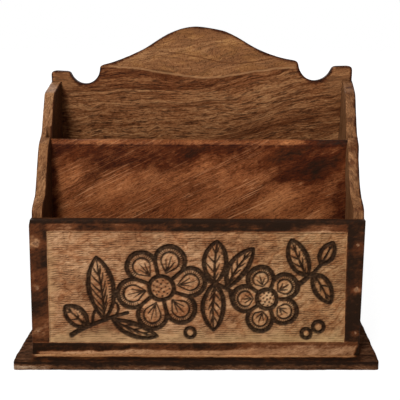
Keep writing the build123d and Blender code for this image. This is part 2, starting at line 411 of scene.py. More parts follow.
class Number:
    """A number that a material works out at each point, used with plain arithmetic."""

    def __init__(self, tree, socket):
        self.tree = tree
        self.socket = socket

    def math(self, operation, *others):
        """What a math node makes of this number and the others."""
        node = self.tree.nodes.new("ShaderNodeMath")
        node.operation = operation
        for socket, value in zip(node.inputs, (self, *others)):
            plug(self.tree, socket, value)
        return Number(self.tree, node.outputs[0])

    def __add__(self, other):
        return self.math("ADD", other)

    def __sub__(self, other):
        return self.math("SUBTRACT", other)

    def __mul__(self, other):
        return self.math("MULTIPLY", other)

    def __truediv__(self, other):
        return self * (1 / other)

    def __pow__(self, other):
        return self.math("POWER", other)

    def __neg__(self):
        return self * -1.0

    def __rsub__(self, other):
        return -self + other

    def __abs__(self):
        return self.math("ABSOLUTE")

    __radd__ = __add__
    __rmul__ = __mul__

    def bell(self, middle, half):
        """1 at the middle, fading out to both sides by the given half width."""
        return (-(((self - middle) / half) ** 2)).math("EXPONENT")

    def ramp(self, low, high):
        """0 below low, 1 above high, smooth between. low may be above high."""
        node = self.tree.nodes.new("ShaderNodeMapRange")
        node.interpolation_type = "SMOOTHSTEP"
        plug(self.tree, node.inputs["Value"], self)
        bottom, top = (0.0, 1.0) if low < high else (1.0, 0.0)
        node.inputs["From Min"].default_value = min(low, high)
        node.inputs["From Max"].default_value = max(low, high)
        node.inputs["To Min"].default_value = bottom
        node.inputs["To Max"].default_value = top
        return Number(self.tree, node.outputs[0])


def plug(tree, socket, value):
    """Links a socket to a worked-out value, or sets it to a plain one."""
    if isinstance(value, Number):
        value = value.socket
    if isinstance(value, bpy.types.NodeSocket):
        tree.links.new(value, socket)
    else:
        socket.default_value = value


def srgb(red, green, blue):
    """A colour from its usual 0 to 255 values."""
    linear = [
        c / 12.92 if c <= 0.04045 else ((c + 0.055) / 1.055) ** 2.4
        for c in (red / 255, green / 255, blue / 255)
    ]
    return (*linear, 1.0)


class Finish:
    """A material under construction."""

    def __init__(self, name):
        self.material = bpy.data.materials.new(name)
        self.material.use_nodes = True
        self.tree = self.material.node_tree
        self.tree.nodes.clear()
        self.place = self.add("ShaderNodeTexCoord").outputs["Object"]

    def add(self, kind, inputs=(), **settings):
        """A new node with its settings, and its inputs linked or set."""
        node = self.tree.nodes.new(kind)
        for key, value in settings.items():
            setattr(node, key, value)
        for key, value in dict(inputs).items():
            plug(self.tree, node.inputs[key], value)
        return node

    def along(self, direction):
        """How far each point lies along a direction, in millimetres."""
        scaled = [c / MM for c in direction]
        node = self.add("ShaderNodeVectorMath", {0: self.place, 1: scaled}, operation="DOT_PRODUCT")
        return Number(self.tree, node.outputs["Value"])

    def places(self):
        """How far each point lies along x, y and z, in millimetres."""
        return [self.along(axis) for axis in (X_AXIS, Y_AXIS, Z_AXIS)]

    def stored(self, attribute):
        """A number that the mesh holds for each point."""
        node = self.add("ShaderNodeAttribute", attribute_name=attribute)
        return Number(self.tree, node.outputs["Fac"])

    def noise(self, *parts, detail=2.0, rough=0.5):
        """Noise from 0 to 1 over one to three numbers, with features about one unit long."""
        settings = {"Scale": 1.0, "Detail": detail, "Roughness": rough}
        if len(parts) == 1:
            node = self.add("ShaderNodeTexNoise", {**settings, "W": parts[0]}, noise_dimensions="1D")
        else:
            joined_up = self.add("ShaderNodeCombineXYZ", dict(enumerate(parts))).outputs[0]
            node = self.add("ShaderNodeTexNoise", {**settings, "Vector": joined_up})
        return Number(self.tree, node.outputs["Fac"])

    def mix(self, share, first, second, how="MIX"):
        """The first colour where share is 0 and the second where it is 1."""
        values = {MIX_SHARE: share, MIX_FIRST: first, MIX_SECOND: second}
        return self.add("ShaderNodeMix", values, data_type="RGBA", blend_type=how).outputs[MIX_RESULT]

    def tint(self, share, colour, factors):
        """The colour, with its red, green and blue multiplied by the factors where share is 1."""
        return self.mix(share, colour, (*factors[:3], 1.0), "MULTIPLY")

    def colours(self, value, stops):
        """A colour from a number: stops holds (number, colour)."""
        node = self.add("ShaderNodeValToRGB", {"Fac": value})
        elements = node.color_ramp.elements
        while len(elements) < len(stops):
            elements.new(0.5)
        for element, (position, colour) in zip(elements, stops):
            element.position = position
            element.color = colour
        return node.outputs["Color"]

    def surface(self, colour, roughness, bump, relief, **constants):
        """Ends the material in one shader. relief is how high the bump stands, in millimetres."""
        raised = self.add("ShaderNodeBump", {"Height": bump, "Distance": relief * MM, "Strength": 1.0})
        inputs = {"Base Color": colour, "Roughness": roughness, "Normal": raised.outputs[0]}
        shader = self.add("ShaderNodeBsdfPrincipled", inputs)
        for name, value in constants.items():
            shader.inputs[name.replace("_", " ")].default_value = value
        return self.end(shader.outputs[0])

    def end(self, shader):
        """Makes a shader the material's result."""
        self.add("ShaderNodeOutputMaterial", {"Surface": shader})
        return self.material


# Wood

# Colours of scorch, which also colour the painted shade that some boards hold
CHAR = srgb(25, 14, 6)
SINGED = (0.31, 0.19, 0.13)
# How far growth lines stray over a long and over a short stretch, in millimetres
LONG_WARP = 28.0
SHORT_WARP = 3.4
# A growth ring's width in millimetres, and how strong each kind of mark is
Grain = namedtuple("Grain", "ring rings fibres specks dashes patches")


def wood(name, directions, heart, lean, palette, grain, figure, bend=None, gleam=0.05, char=CHAR):
    """Wood with growth rings round a heart line, fibres, pores, and the scorch and painted shade that the
    mesh holds.

    directions are along the grain, across it and through the board. heart is where the heart line lies,
    across and through, in millimetres, and lean how far it drifts across for each millimetre along.
    figure adds a board's own marks to the colour, from the places along and across it and the level of
    its warped growth lines, and bend curves those. gleam is how strongly the wood shines, and char the
    colour of the deepest scorch."""
    make = Finish(name)
    u, v, w = (make.along(direction) for direction in directions)
    wander = make.noise(u / 95, v / 55, w / 55) - 0.5
    ripple = make.noise(u / 20, v / 9, w / 9) - 0.5
    level = v + wander * LONG_WARP + ripple * SHORT_WARP
    if bend is not None:
        level = level + bend(u)
    side = level - heart[0] - u * lean
    deep = w - heart[1]
    radius = (side * side + deep * deep) ** 0.5
    bands = make.noise(radius / grain.ring, detail=3.0, rough=0.65)
    fade = make.noise(u / 60, radius / 9, 3.7, detail=1.0)
    edge = abs(make.noise(radius * (1.9 / grain.ring) + 17.0, detail=1.0) - 0.5)
    lines = edge.ramp(0.035, 0.0) * fade.ramp(0.4, 0.62)
    fibres = make.noise(u / 12, radius * 1.2, w * 0.9, detail=3.0, rough=0.7)
    speckle = make.noise(u / 2.4, radius * 1.25, w * 1.1, rough=0.7)
    pores = make.noise(u / 3.0, radius * 1.5, w * 1.3, detail=1.0).ramp(0.57, 0.68)
    patches = make.noise(u / 42, v / 24, w / 24 + 9.0)
    tone = (bands - 0.5) * grain.rings + (fibres - 0.5) * grain.fibres + (speckle - 0.5) * grain.specks
    tone = tone + (patches - 0.5) * grain.patches + 0.5
    dark, middle, light = palette
    colour = make.colours(tone, [(0.24, dark), (0.5, middle), (0.78, light)])
    colour = make.mix(lines * grain.rings, colour, dark)
    dashes = make.noise(u / 9.5, radius * 0.85, w * 0.7, detail=1.0).ramp(0.54, 0.66)
    colour = make.tint(dashes * grain.dashes, colour, dark)
    colour = make.tint(pores * 0.5, colour, dark)
    warmth = make.noise(u / 30, v / 30, 5.1, detail=1.0).ramp(0.4, 0.7)
    colour = make.tint(warmth * 0.22, colour, (1.0, 0.78, 0.62))
    colour = figure(make, colour, u, v, level)
    clouds = make.noise(u / 7, v / 4, w / 4, detail=3.0) - 0.5
    worn = make.noise(u / 2.6, radius * 0.6, w * 0.5) - 0.5
    # The stored number is scorch, and on some boards also painted shade, or less of it as painted light
    singe_and_painted_shade = make.stored("scorch_and_painted_shade") + clouds * 0.5 + worn * 0.35
    colour = make.tint(singe_and_painted_shade.ramp(0.2, 0.66), colour, SINGED)
    colour = make.mix(singe_and_painted_shade.ramp(0.55, 1.0) * 0.96, colour, char)
    gloss = 0.64 - fibres * 0.16 + pores * 0.1
    height = fibres * 0.5 + speckle * 0.3 - pores * 0.5 - lines * 0.3
    return make.surface(colour, gloss, height, relief=0.16, Specular_IOR_Level=gleam)


# Palettes, from dark to light

BACK_TONES = (srgb(78, 40, 17), srgb(116, 73, 42), srgb(152, 109, 71))
DIVIDER_TONES = (srgb(72, 33, 14), srgb(121, 68, 36), srgb(162, 103, 62))
SIDE_TONES = (srgb(80, 47, 26), srgb(122, 83, 52), srgb(162, 119, 82))
FRONT_TONES = (srgb(120, 80, 52), srgb(165, 122, 86), srgb(196, 156, 118))
BASE_TONES = (srgb(104, 66, 40), srgb(160, 116, 76), srgb(190, 146, 104))


# Front panel: a grid whose rows follow the chisel marks of the field

FIELD_SIDE = 12.0
FIELD_TOP = 8.5
FIELD_BOTTOM = 8.5
FIELD_DEPTH = 1.2
WALL_RUN = 0.4
SILL_RISE = 1.2
CHISEL_PITCH = 1.62
ROWS_A_MARK = 4
CHISEL_DEPTH = 0.3
COLUMN_STEP = 0.64
BORDER_STEP = 1.3
BESIDE_WALL = 0.1
PANEL_ARRIS = 0.8
FOOT_ARRIS = 0.3
BACK_ARRIS = 0.55
ARRIS_SHARES = (0.0, 0.06, 0.22, 0.5, 1.0)
# Depths of the rings along the panel's edges, and the spacing of its back's net
WALL_LEVELS = (2.4, 4.2, 6.0)
BACK_SPACING = 4.0

panel_low, panel_high = box_mm("front_panel")
panel_thickness = panel_high[1] - panel_low[1]
panel_face = Face((0, panel_low[1], 0), X_AXIS, Z_AXIS, Y_AXIS)
field_left = panel_low[0] + FIELD_SIDE
field_right = panel_high[0] - FIELD_SIDE
field_bottom = panel_low[2] + FIELD_BOTTOM
field_top = panel_high[2] - FIELD_TOP


def edge_steps(low, arris, inner):
    """Values from a worn edge at low to inner, close together over the arris."""
    sign = 1.0 if inner > low else -1.0
    over = [low + sign * arris * share for share in ARRIS_SHARES]
    return over + steps(over[-1], inner, BORDER_STEP)[1:]


def panel_lines(low, high, inner_low, inner_high, low_arris, high_arris, fine):
    """Grid lines across the panel: border, the field's wall, the field, its other wall and border."""
    before, after = inner_low - BESIDE_WALL, inner_high + BESIDE_WALL
    below = edge_steps(low, low_arris, before) + [before, inner_low]
    above = edge_steps(high, high_arris, after) + [after, inner_high]
    return np.array(below + list(fine) + above[::-1])


field_width = field_right - field_left - 2 * WALL_RUN
field_height = field_top - field_bottom - 2 * WALL_RUN
column_count = round(field_width / COLUMN_STEP)
mark_count = round(field_height / CHISEL_PITCH)
field_columns = np.linspace(field_left + WALL_RUN, field_right - WALL_RUN, column_count + 1)
field_rows = np.linspace(field_bottom + WALL_RUN, field_top - WALL_RUN, mark_count * ROWS_A_MARK + 1)
column_at = panel_lines(
    panel_low[0], panel_high[0], field_left, field_right, PANEL_ARRIS, PANEL_ARRIS, field_columns
)
row_at = panel_lines(
    panel_low[2], panel_high[2], field_bottom, field_top, FOOT_ARRIS, PANEL_ARRIS, field_rows
)
grid_x, grid_z = (values.ravel() for values in np.meshgrid(column_at, row_at))
grid = np.column_stack([grid_x, grid_z])


# The carved branch, drawn in the panel's plane

# No point farther than this from a groove's edge is worked out
CLEAR = 4.0
ARC_POINTS = 26
# A flower's disc, as a share of its radius
FLOWER_DISC = 0.28
drawing = []


class Groove:
    """A burnt groove along a line, with a half width for each of its points."""

    def __init__(self, line, half_width, depth):
        self.line = np.asarray(line, float)
        self.half = np.broadcast_to(half_width, len(self.line)).astype(float)
        self.depth = depth
        self.reach = self.half.max() + CLEAR

    def add_to(self, points, carved):
        """Cuts the groove at the points. Where two cross, the deeper one counts."""
        gap = np.full(len(points), np.inf)
        for start, end, first, last in zip(self.line, self.line[1:], self.half, self.half[1:]):
            run = end - start
            t = np.clip((points - start) @ run / (run @ run), 0, 1)
            away = np.linalg.norm(points - start - t[:, None] * run, axis=1)
            gap = np.minimum(gap, away - first - (last - first) * t)
        gap += 0.16 * noise(points, (3.5, 3.5), 17)
        carved["groove"] = np.maximum(carved["groove"], self.depth * ramp(0.1, -0.8, gap))
        carved["gap"] = np.minimum(carved["gap"], gap)
        return carved


class Shape:
    """A gently domed petal, leaf, disc or berry, which covers what was drawn before it."""

    def __init__(self, outline, spine, half, dome):
        self.line = np.asarray(outline, float)
        self.spine = np.asarray(spine, float)
        self.half = np.maximum(half, 0.1)
        self.dome = dome
        self.reach = 0.0

    def add_to(self, points, carved):
        """Clears the points within the shape and raises its dome there."""
        within = inside(points, self.line)
        apart = np.linalg.norm(points[:, None] - self.spine[None], axis=2)
        nearest = apart.argmin(axis=1)
        share = (apart[np.arange(len(points)), nearest] / self.half[nearest]).clip(0, 1)
        carved["groove"] = np.where(within, 0, carved["groove"])
        carved["gap"] = np.where(within, CLEAR, carved["gap"])
        carved["rise"] = np.where(within, self.dome * (1 - share**2), carved["rise"])
        carved["within"] = np.where(within, 1, carved["within"])
        return carved


def carve(points):
    """What the drawing does at each point: groove depth, gap to a groove, rise, and 1 within a shape."""
    carved = {name: np.zeros(len(points)) for name in ("groove", "gap", "rise", "within")}
    carved["gap"] += CLEAR
    for item in drawing:
        low = item.line.min(axis=0) - item.reach
        high = item.line.max(axis=0) + item.reach
        near = np.all((points > low) & (points < high), axis=1)
        local = item.add_to(points[near], {name: values[near] for name, values in carved.items()})
        for name, values in local.items():
            carved[name][near] = values
    return carved


def stroke(line, half_width, depth=1.25):
    """Draws a groove along a line."""
    drawing.append(Groove(line, half_width, depth))


def tapered(count, widest, narrowest):
    """Half widths that swell from a thin start and thin out again."""
    t = np.linspace(0, 1, count)
    return narrowest + (widest - narrowest) * np.sin(math.pi * t) ** 0.6


def polar(angle):
    """The unit step at an angle, in radians."""
    return np.array([math.cos(angle), math.sin(angle)])


def bowed(start, end, bulge):
    """An arc that stands off the line from start to end, to the left where bulge is positive."""
    start, end = np.asarray(start, float), np.asarray(end, float)
    length = np.linalg.norm(end - start)
    ahead = (end - start) / length
    side = np.array([-ahead[1], ahead[0]])
    turn = 2 * math.atan2(2 * bulge, length)
    angle = np.linspace(-turn, turn, ARC_POINTS)
    along = np.sin(angle) / math.sin(turn) * length / 2
    off = (np.cos(angle) - math.cos(turn)) / (1 - math.cos(turn)) * bulge
    return (start + end) / 2 + np.outer(along, ahead) + np.outer(off, side)


def stem(start, through, end):
    """A shoot along an arc, thinner towards its end."""
    run = np.subtract(end, start)
    reach = np.subtract(through, start)
    bulge = (run[0] * reach[1] - run[1] * reach[0]) / np.linalg.norm(run)
    line = bowed(start, end, bulge)
    stroke(line, np.linspace(1.9, 1.3, len(line)))


def leaf(start, tip, left_bulge, right_bulge):
    """A pointed leaf between two bowed sides, with a midrib, side veins and one half hatched."""
    left_side, right_side = bowed(start, tip, left_bulge), bowed(start, tip, -right_bulge)
    centre, left = (left_side + right_side) / 2, (left_side - right_side) / 2
    drawing.append(
        Shape(np.vstack([left_side, right_side[::-1]]), centre, np.linalg.norm(left, axis=1), 0.45)
    )
    length = np.linalg.norm(np.subtract(tip, start))
    last = len(centre) - 1
    for t in np.linspace(0.18, 0.88, round(length / 2.7)) * last:
        index = int(t)
        stroke([centre[index] - left[index] * 0.64, centre[index] - left[index] * 0.92], [0.42, 0.36], 0.5)
    for t in np.linspace(0.12, 0.7, round(length / 8)) * last:
        base, reach = int(t), int(t + 0.17 * last)
        for side, share in ((left, 0.8), (-left, 0.42)):
            vein_tip = centre[reach] + side[reach] * share
            middle = (centre[base] + vein_tip) / 2 + side[base] * 0.06
            stroke([centre[base], middle, vein_tip], [0.72, 0.6, 0.3], 0.8)
    stroke(centre[:-1], np.linspace(1.15, 0.5, last), 1.1)
    for side in (left_side, right_side):
        stroke(side, tapered(len(side), 1.75, 1.0))


def petal(middle, radius, angle, half, disc):
    """A petal with straight sides and a round end, a hatched rim, an inner line and three veins."""
    ahead, start, end = polar(angle), polar(angle - half), polar(angle + half)
    round_place = radius / (1 + math.sin(half))
    round_radius = radius - round_place
    touch = round_place * math.cos(half)
    centre = middle + ahead * round_place
    sweep = math.pi / 2 + half
    rim = np.array([centre + round_radius * polar(angle + turn) for turn in np.linspace(-sweep, sweep, 30)])
    outline = np.vstack([middle + start * disc, rim, middle + end * disc])
    reach = np.linspace(disc, radius, 26)
    straight = reach * math.tan(half)
    rounded = np.sqrt(np.maximum(round_radius**2 - (reach - round_place) ** 2, 0))
    widths = np.where(reach < touch * math.cos(half), straight, rounded)
    drawing.append(Shape(outline, middle + np.outer(reach, ahead), widths, 0.55))
    for turn in np.linspace(-0.86 * sweep, 0.86 * sweep, round(1.72 * sweep * round_radius / 1.9)):
        out = polar(angle + turn)
        stroke([centre + out * round_radius * 0.9, centre + out * round_radius * 0.7], [0.42, 0.34], 0.5)
    inner = [centre + 0.6 * round_radius * polar(angle + turn) for turn in np.linspace(-sweep, sweep, 22)]
    root = middle + ahead * (disc + 2.6)
    inner = np.array([root, *inner, root])
    stroke(inner, tapered(len(inner), 0.8, 0.5), 0.85)
    for share in (-0.5, 0.0, 0.5):
        vein_tip = centre + 0.3 * round_radius * polar(angle + share * math.pi)
        stroke([root + ahead * 1.5, vein_tip], [0.65, 0.3], 0.7)
    stroke(rim, tapered(len(rim), 1.8, 1.45))
    for side in (start, end):
        stroke([middle + side * disc, middle + side * touch], 1.5)


def ring(middle, radius, half_width, dome):
    """A round groove about a small domed top."""
    line = np.array([middle + radius * polar(turn) for turn in np.linspace(0, 2 * math.pi, 33)])
    drawing.append(Shape(line, [middle], np.array([radius]), dome))
    stroke(line, half_width)


def berry(middle, radius):
    """A small ring with a domed top."""
    ring(np.array(middle, float), radius, 1.4, 0.45)


def flower(middle, radius, petals, turn):
    """Touching petals about a disc that is pricked all over."""
    middle = np.asarray(middle, float)
    disc = FLOWER_DISC * radius
    for index in range(petals):
        petal(middle, radius, math.radians(turn + 360 * index / petals), math.pi / petals, disc)
    ring(middle, disc, 1.6, 0.6)
    for share, pricks in ((0.0, 1), (0.36, 5), (0.66, 9)):
        for index in range(pricks):
            prick = middle + disc * share * polar(2 * math.pi * index / pricks + share)
            stroke([prick, prick + (0.05, 0.0)], 0.62, 0.8)


def tendril(start, angle, length, curl):
    """A thin shoot that curls up at its end."""
    t = np.linspace(0, 1, 44)
    heading = np.radians(angle + curl * t**1.8)
    ahead = np.stack([np.cos(heading), np.sin(heading)], axis=1) * (length * (1.3 - 0.9 * t) / 40)[:, None]
    line = np.asarray(start, float) + np.vstack([[0, 0], np.cumsum(ahead[:-1], axis=0)])
    stroke(line, np.linspace(1.2, 0.75, len(line)), 1.1)


# The branch, about the field's middle: the same main lines as the solid's, with finer cuts

STEMS = [
    ((-92, -36), (-72, -26), (-51, -19)),
    ((5, 7), (17, 2), (27, -4)),
    ((74, 3), (83, 11), (91, 19)),
]
TENDRILS = [((-60, -23), 62, 22, 300), ((-76, -28), 96, 30, -420), ((24, -3), -84, 26, 400)]
LEAVES = [
    ((-80, -30), (-97, -14), 6.0, 6.0),
    ((-68, -24), (-73, 23), 8.0, 10.0),
    ((-62, -24), (-29, -37), 3.0, 6.0),
    ((13, 4), (15, 35), 9.0, 7.0),
    ((13, 4), (12, -32), 7.0, 8.0),
    ((22, 0), (41, 30), 8.0, 4.0),
    ((80, 9), (68, 36), 7.0, 6.0),
    ((90, 18), (98, 34), 4.5, 5.0),
    ((84, 11), (97, -11), 7.0, 5.0),
]
FLOWERS = [((-26, 0), 32.0, 6, 12.0), ((51, -8), 25.0, 5, 36.0)]
BERRIES = [((80, -34), 3.4), ((89, -29), 4.0), ((-5, -34), 3.6)]

for draw, places in (
    (stem, STEMS),
    (tendril, TENDRILS),
    (leaf, LEAVES),
    (flower, FLOWERS),
    (berry, BERRIES),
):
    for place in places:
        draw(*place)


# The panel's relief: how deep each point of the grid lies, with rows that wander like the chisel


def sill(x):
    """Height of the field's lower edge, which climbs a little to the right."""
    return field_bottom + SILL_RISE * ramp(-60, 110, x)


from_wall = np.minimum.reduce(
    [grid_x - field_left, field_right - grid_x, grid_z - field_bottom, field_top - grid_z]
)
in_field = from_wall >= WALL_RUN - 0.01
calm = ramp(WALL_RUN, 7.0, from_wall)
drift = 1.5 * noise(grid, (42.0, 26.0), 3) + 0.75 * noise(grid, (13.0, 9.0), 4)
drift += 0.4 * noise(grid, (5.0, 5.0), 2)
wall_near = 0.35 * np.exp(-np.abs(from_wall) / 1.6) * ramp(-8.0, -2.0, from_wall)
side_wall = np.minimum(np.abs(grid_x - field_left), np.abs(grid_x - field_right)) < 6
flat = grid.copy()
flat[:, 1] += calm * drift + np.where(side_wall, 0, wall_near * noise(grid[:, :1], (17.0,), 5))
flat[:, 1] += (sill(grid_x) - field_bottom) * between(grid_z, field_bottom - 2, field_bottom + 2, 5)
flat[:, 0] += np.where(side_wall, wall_near * noise(grid[:, 1:], (13.0,), 6), 0)

hand_sway = np.column_stack([noise(flat, (14.0, 14.0), 15), noise(flat, (14.0, 14.0), 16)])
carved = carve(flat - (0, (field_bottom + field_top) / 2) + 0.45 * hand_sway)
groove, gap, rise, within = (carved[name] for name in ("groove", "gap", "rise", "within"))
mark = (grid_z - field_bottom - WALL_RUN) / (field_height / mark_count)
stroke_long = noise(np.column_stack([grid_x, np.floor(mark + 0.5) * 7.3]), (3.8, 1.0), 7)
bite = ramp(-0.8, 0.25, stroke_long) * (0.78 + 0.22 * noise(flat, (4.0, 2.0), 8))
valley = (0.5 - 0.5 * np.cos(2 * math.pi * mark)) ** 1.15
cut = valley * bite * (1 - within) * in_field
rough = 0.1 * noise(flat, (6.0, 4.0), 9) + 0.05 * noise(flat, (1.6, 1.0), 10)
sunk = FIELD_DEPTH * ramp(-0.05, WALL_RUN, from_wall)
field_surface = in_field * (groove - rise * (1 - groove / 1.2).clip(0, 1) + CHISEL_DEPTH * cut + rough)


def arris_drop(away, radius):
    """How far a rounded arris falls away, at a distance from the edge."""
    return radius - np.sqrt(np.maximum(radius**2 - np.maximum(radius - away, 0) ** 2, 0))


from_side = np.minimum(grid_x - panel_low[0], panel_high[0] - grid_x)
drop = arris_drop(np.minimum(from_side, panel_high[2] - grid_z), PANEL_ARRIS)
drop = np.maximum(drop, arris_drop(grid_z - panel_low[2], FOOT_ARRIS))
plane_marks = 0.06 * (1 + noise(grid, (16.0, 7.0), 12)) * ramp(0.0, 2.0, -from_wall)
depth = sunk + field_surface + drop + plane_marks * ramp(0.5, 3.0, from_side)
depth = np.maximum(depth, 0.0)


# The panel as a closed mesh: the grid, the edges behind it and the plain back

number = np.arange(len(grid)).reshape(len(row_at), len(column_at))
front_faces = np.stack(
    [number[:-1, :-1], number[:-1, 1:], number[1:, 1:], number[1:, :-1]], axis=-1
).reshape(-1, 4)
border = np.concatenate([number[0, :-1], number[:-1, -1], number[-1, :0:-1], number[:0:-1, 0]])
front = with_depth(flat, depth)
edge_loop = flat[border]
panel_middle = (edge_loop.min(axis=0) + edge_loop.max(axis=0)) / 2
panel_half = edge_loop.max(axis=0) - panel_middle
back_round = BACK_ARRIS * (1 + 0.4 * noise(edge_loop, (7.0, 7.0), 14))
panel_rings = [with_depth(edge_loop, level) for level in WALL_LEVELS]
for turn in ARC_TURNS[::-1]:
    shrunk = 1 - (back_round * (1 - np.sin(turn)))[:, None] / panel_half
    ring_depth = panel_thickness - back_round * (1 - np.cos(turn))
    panel_rings.append(with_depth(panel_middle + (edge_loop - panel_middle) * shrunk, ring_depth))
panel_points, panel_faces = joined(
    front, front_faces.tolist(), border.tolist(), panel_rings, BACK_SPACING
)
front_board = new_piece("carved_front", panel_face.place(panel_points), panel_faces)


# Scorch and colour of the front panel

# Heights that lie between the lowest, the middle and the highest brads
BRAD_LEVELS = (45.0, 75.0)
# Rubbed places about the brads, each with its half width and its strength
SCUFFS = {
    (False, 0): (4.6, 0.5),
    (False, 1): (3.4, 0.4),
    (False, 2): (5.6, 0.72),
    (True, 0): (3.0, 0.3),
    (True, 1): (5.0, 0.6),
    (True, 2): (3.0, 0.2),
}


def brad_place(middle):
    """Which brad lies at a place: whether it is a right one, and its number from the foot up."""
    return middle[0] > 0, sum(middle[2] > height for height in BRAD_LEVELS)


def front_burn(points, is_field):
    """The scorched border of the panel: dark bands at the sides and top, a wavy one below the field.

    The brads' places are rubbed paler, and the top and the back are scorched too."""
    x, y, z = points.T
    flat_points = points[:, [0, 2]]
    patch = noise(flat_points, (9.0, 11.0), 20)
    streaks = noise(flat_points, (26.0, 1.9), 24) + 0.5 * noise(flat_points, (7.0, 1.4), 25)
    past_left = ramp(-75, -45, x)
    to_right = ramp(22, 52, x)
    left = ramp(field_left + 4, field_left - 1, x) * (0.8 + 0.2 * patch)
    right = ramp(field_right - 3, field_right + 1.5, x) * (0.93 + 0.16 * patch)
    weak_left = spot(points[:, :1], -98, 9)
    weak_right = ramp(74, 100, x) * ramp(119.5, 115, x)
    top_burn = 0.66 + 0.24 * ramp(-70, -20, x) - 0.12 * weak_left - 0.44 * weak_right
    at_arris = ramp(panel_high[2] - 4.6, panel_high[2] - 2.2, z)
    top = np.maximum(top_burn + 0.12 * patch + 0.17 * streaks, 0.95 * at_arris)
    top = top * ramp(field_top - 1, field_top + 1, z)
    wave = 0.5 * noise(flat_points[:, :1], (21.0,), 21) + 0.4 * noise(flat_points[:, :1], (6.0,), 22)
    lower_edge = panel_low[2] + 2.7 + wave + 2.0 * past_left + 1.5 * ramp(25, 60, x)
    softness = 1.0 + 1.7 * past_left
    under_sill = z - sill(x)
    low = ramp(lower_edge - softness, lower_edge, z) * ramp(0.7, -0.1, under_sill)
    low = low * (1.0 - 0.2 * past_left - 0.3 * to_right + 0.1 * streaks)
    low = np.maximum(low, 0.68 * between(under_sill, -0.8 - 1.2 * to_right, 0.2, 0.6))
    above_foot = z - panel_low[2]
    left_end = ramp(panel_low[0] + 7.5, panel_low[0] + 2.5, x + 0.35 * above_foot)
    right_end = ramp(panel_high[0] - 6, panel_high[0] - 2.5, x - 0.3 * above_foot)
    foot = ramp(2, -2, under_sill)
    low = np.maximum(low, 0.36 * foot * to_right * (1 - is_field))
    sides = np.maximum(left, right) * (1 - foot) + np.maximum(left_end, right_end) * foot
    scorch_and_painted_shade = np.maximum(np.maximum(sides, top) * (1 - is_field), low)
    scuffs = np.zeros(len(points))
    for middle in clusters("front_nail_filler"):
        wide, strength = SCUFFS[brad_place(middle)]
        rubbed = strength * spot(flat_points, middle[[0, 2]], (wide, 0.72 * wide))
        scuffs = np.maximum(scuffs, rubbed)
    scorch_and_painted_shade = scorch_and_painted_shade - scuffs * (0.75 + 0.45 * noise(flat_points, (2.8, 1.8), 23))
    top_face = ramp(panel_high[2] - 1.2, panel_high[2] - 0.2, z) * (0.9 + 0.16 * patch)
    inner = 0.55 * ramp(panel_high[2] - 14, panel_high[2], z) + 0.25 * patch
    back_edge = ramp(panel_high[1] - 1.1, panel_high[1] - 0.3, y)
    back_edge = back_edge * ramp(panel_high[2] - 1.2, panel_high[2] - 0.3, z)
    on_front = ramp(panel_high[1] - 1.0, panel_low[1] + 3.0, y)
    scorch_and_painted_shade = on_front * scorch_and_painted_shade + (1 - on_front) * np.maximum(top_face * (1 - 0.8 * back_edge), inner)
    return np.clip(scorch_and_painted_shade, 0, 1.1)


panel_mm = points_mm(front_board)


def panel_values(values):
    """Values of the grid, followed by 0 for the panel's other points."""
    return np.concatenate([values, np.zeros(len(panel_mm) - len(front))])


is_field = panel_values((from_wall > -0.02).astype(float))
pale_rim = ramp(0.5, 6.5, from_wall + 2.0 * noise(grid, (9.0, 9.0), 18))
store(front_board, "field", is_field)
store(front_board, "scorch_and_painted_shade", front_burn(panel_mm, is_field))
store(front_board, "char", panel_values(ramp(0.4, -0.3, gap) * in_field))
store(front_board, "soot", panel_values(np.exp(-np.maximum(gap, 0) / 1.1) * in_field))
# cut also drives the painted shade in the chisel valleys
store(front_board, "cut", panel_values(cut * (0.7 + 0.3 * pale_rim)))


def carved_colour(make, colour, u, v, level):
    """Pale field, chisel valleys painted dark with the shade that falls in them, and burnt grooves."""
    x, _, z = make.places()
    clear = make.stored("field")
    colour = make.tint((1.0 - clear) * 0.3, colour, (0.62, 0.5, 0.42))
    blotch = make.noise(u / 11, v / 9, 4.0, detail=3.0, rough=0.65).ramp(0.46, 0.6)
    colour = make.tint(blotch * clear * 0.62, colour, (0.74, 0.56, 0.44))
    nicks = make.noise(u / 2.6, v / 1.3, 8.0, rough=0.6).ramp(0.56, 0.68)
    colour = make.tint(nicks * clear * (blotch * 0.5 + 0.3), colour, (0.52, 0.36, 0.26))
    height = make.noise(x / 30, z / 24, 5.0, rough=0.45)
    to_right = x.ramp(15, 60)
    phase = height * (70.0 - to_right * 45.0) + (z - x * 0.75) * to_right * 0.9
    seen = make.noise(x / 16, z / 16, 9.0, detail=1.0).ramp(0.38, 0.58)
    colour = make.tint(phase.math("SINE").ramp(0.35, 1.0) * seen * clear * 0.7, colour, (0.6, 0.44, 0.34))
    ragged = (make.noise(x / 9, z / 9, 3.0) - 0.5) * 16.0
    at_left = (x + ragged).ramp(field_left + 8, field_left) * 0.42
    at_foot = (z + ragged).ramp(field_bottom + 14, field_bottom + 2) * 0.7
    colour = make.mix(at_left.math("MAXIMUM", at_foot) * clear, colour, srgb(178, 142, 100))
    colour = make.tint(x.ramp(-10, 90) * clear * 0.6, colour, (0.86, 0.9, 0.8))
    # Painted shade in the chisel valleys, from the stored cut, broken up by flecks
    flecks = make.noise(u / 3.0, v * 1.6, 2.0, rough=0.6).ramp(0.25, 0.55)
    colour = make.tint(make.stored("cut") * (flecks * 0.5 + 0.5), colour, (0.09, 0.05, 0.03))
    soot = make.stored("soot") * make.noise(u * 0.4, v * 0.4, 1.0).ramp(0.3, 0.7)
    colour = make.tint(soot * 0.55, colour, (0.42, 0.3, 0.24))
    ashy = make.noise(u * 0.45, v * 0.45, 7.0, detail=3.0, rough=0.6).ramp(0.35, 0.7) * -0.14 + 0.98
    return make.mix(make.stored("char") * ashy, colour, CHAR)


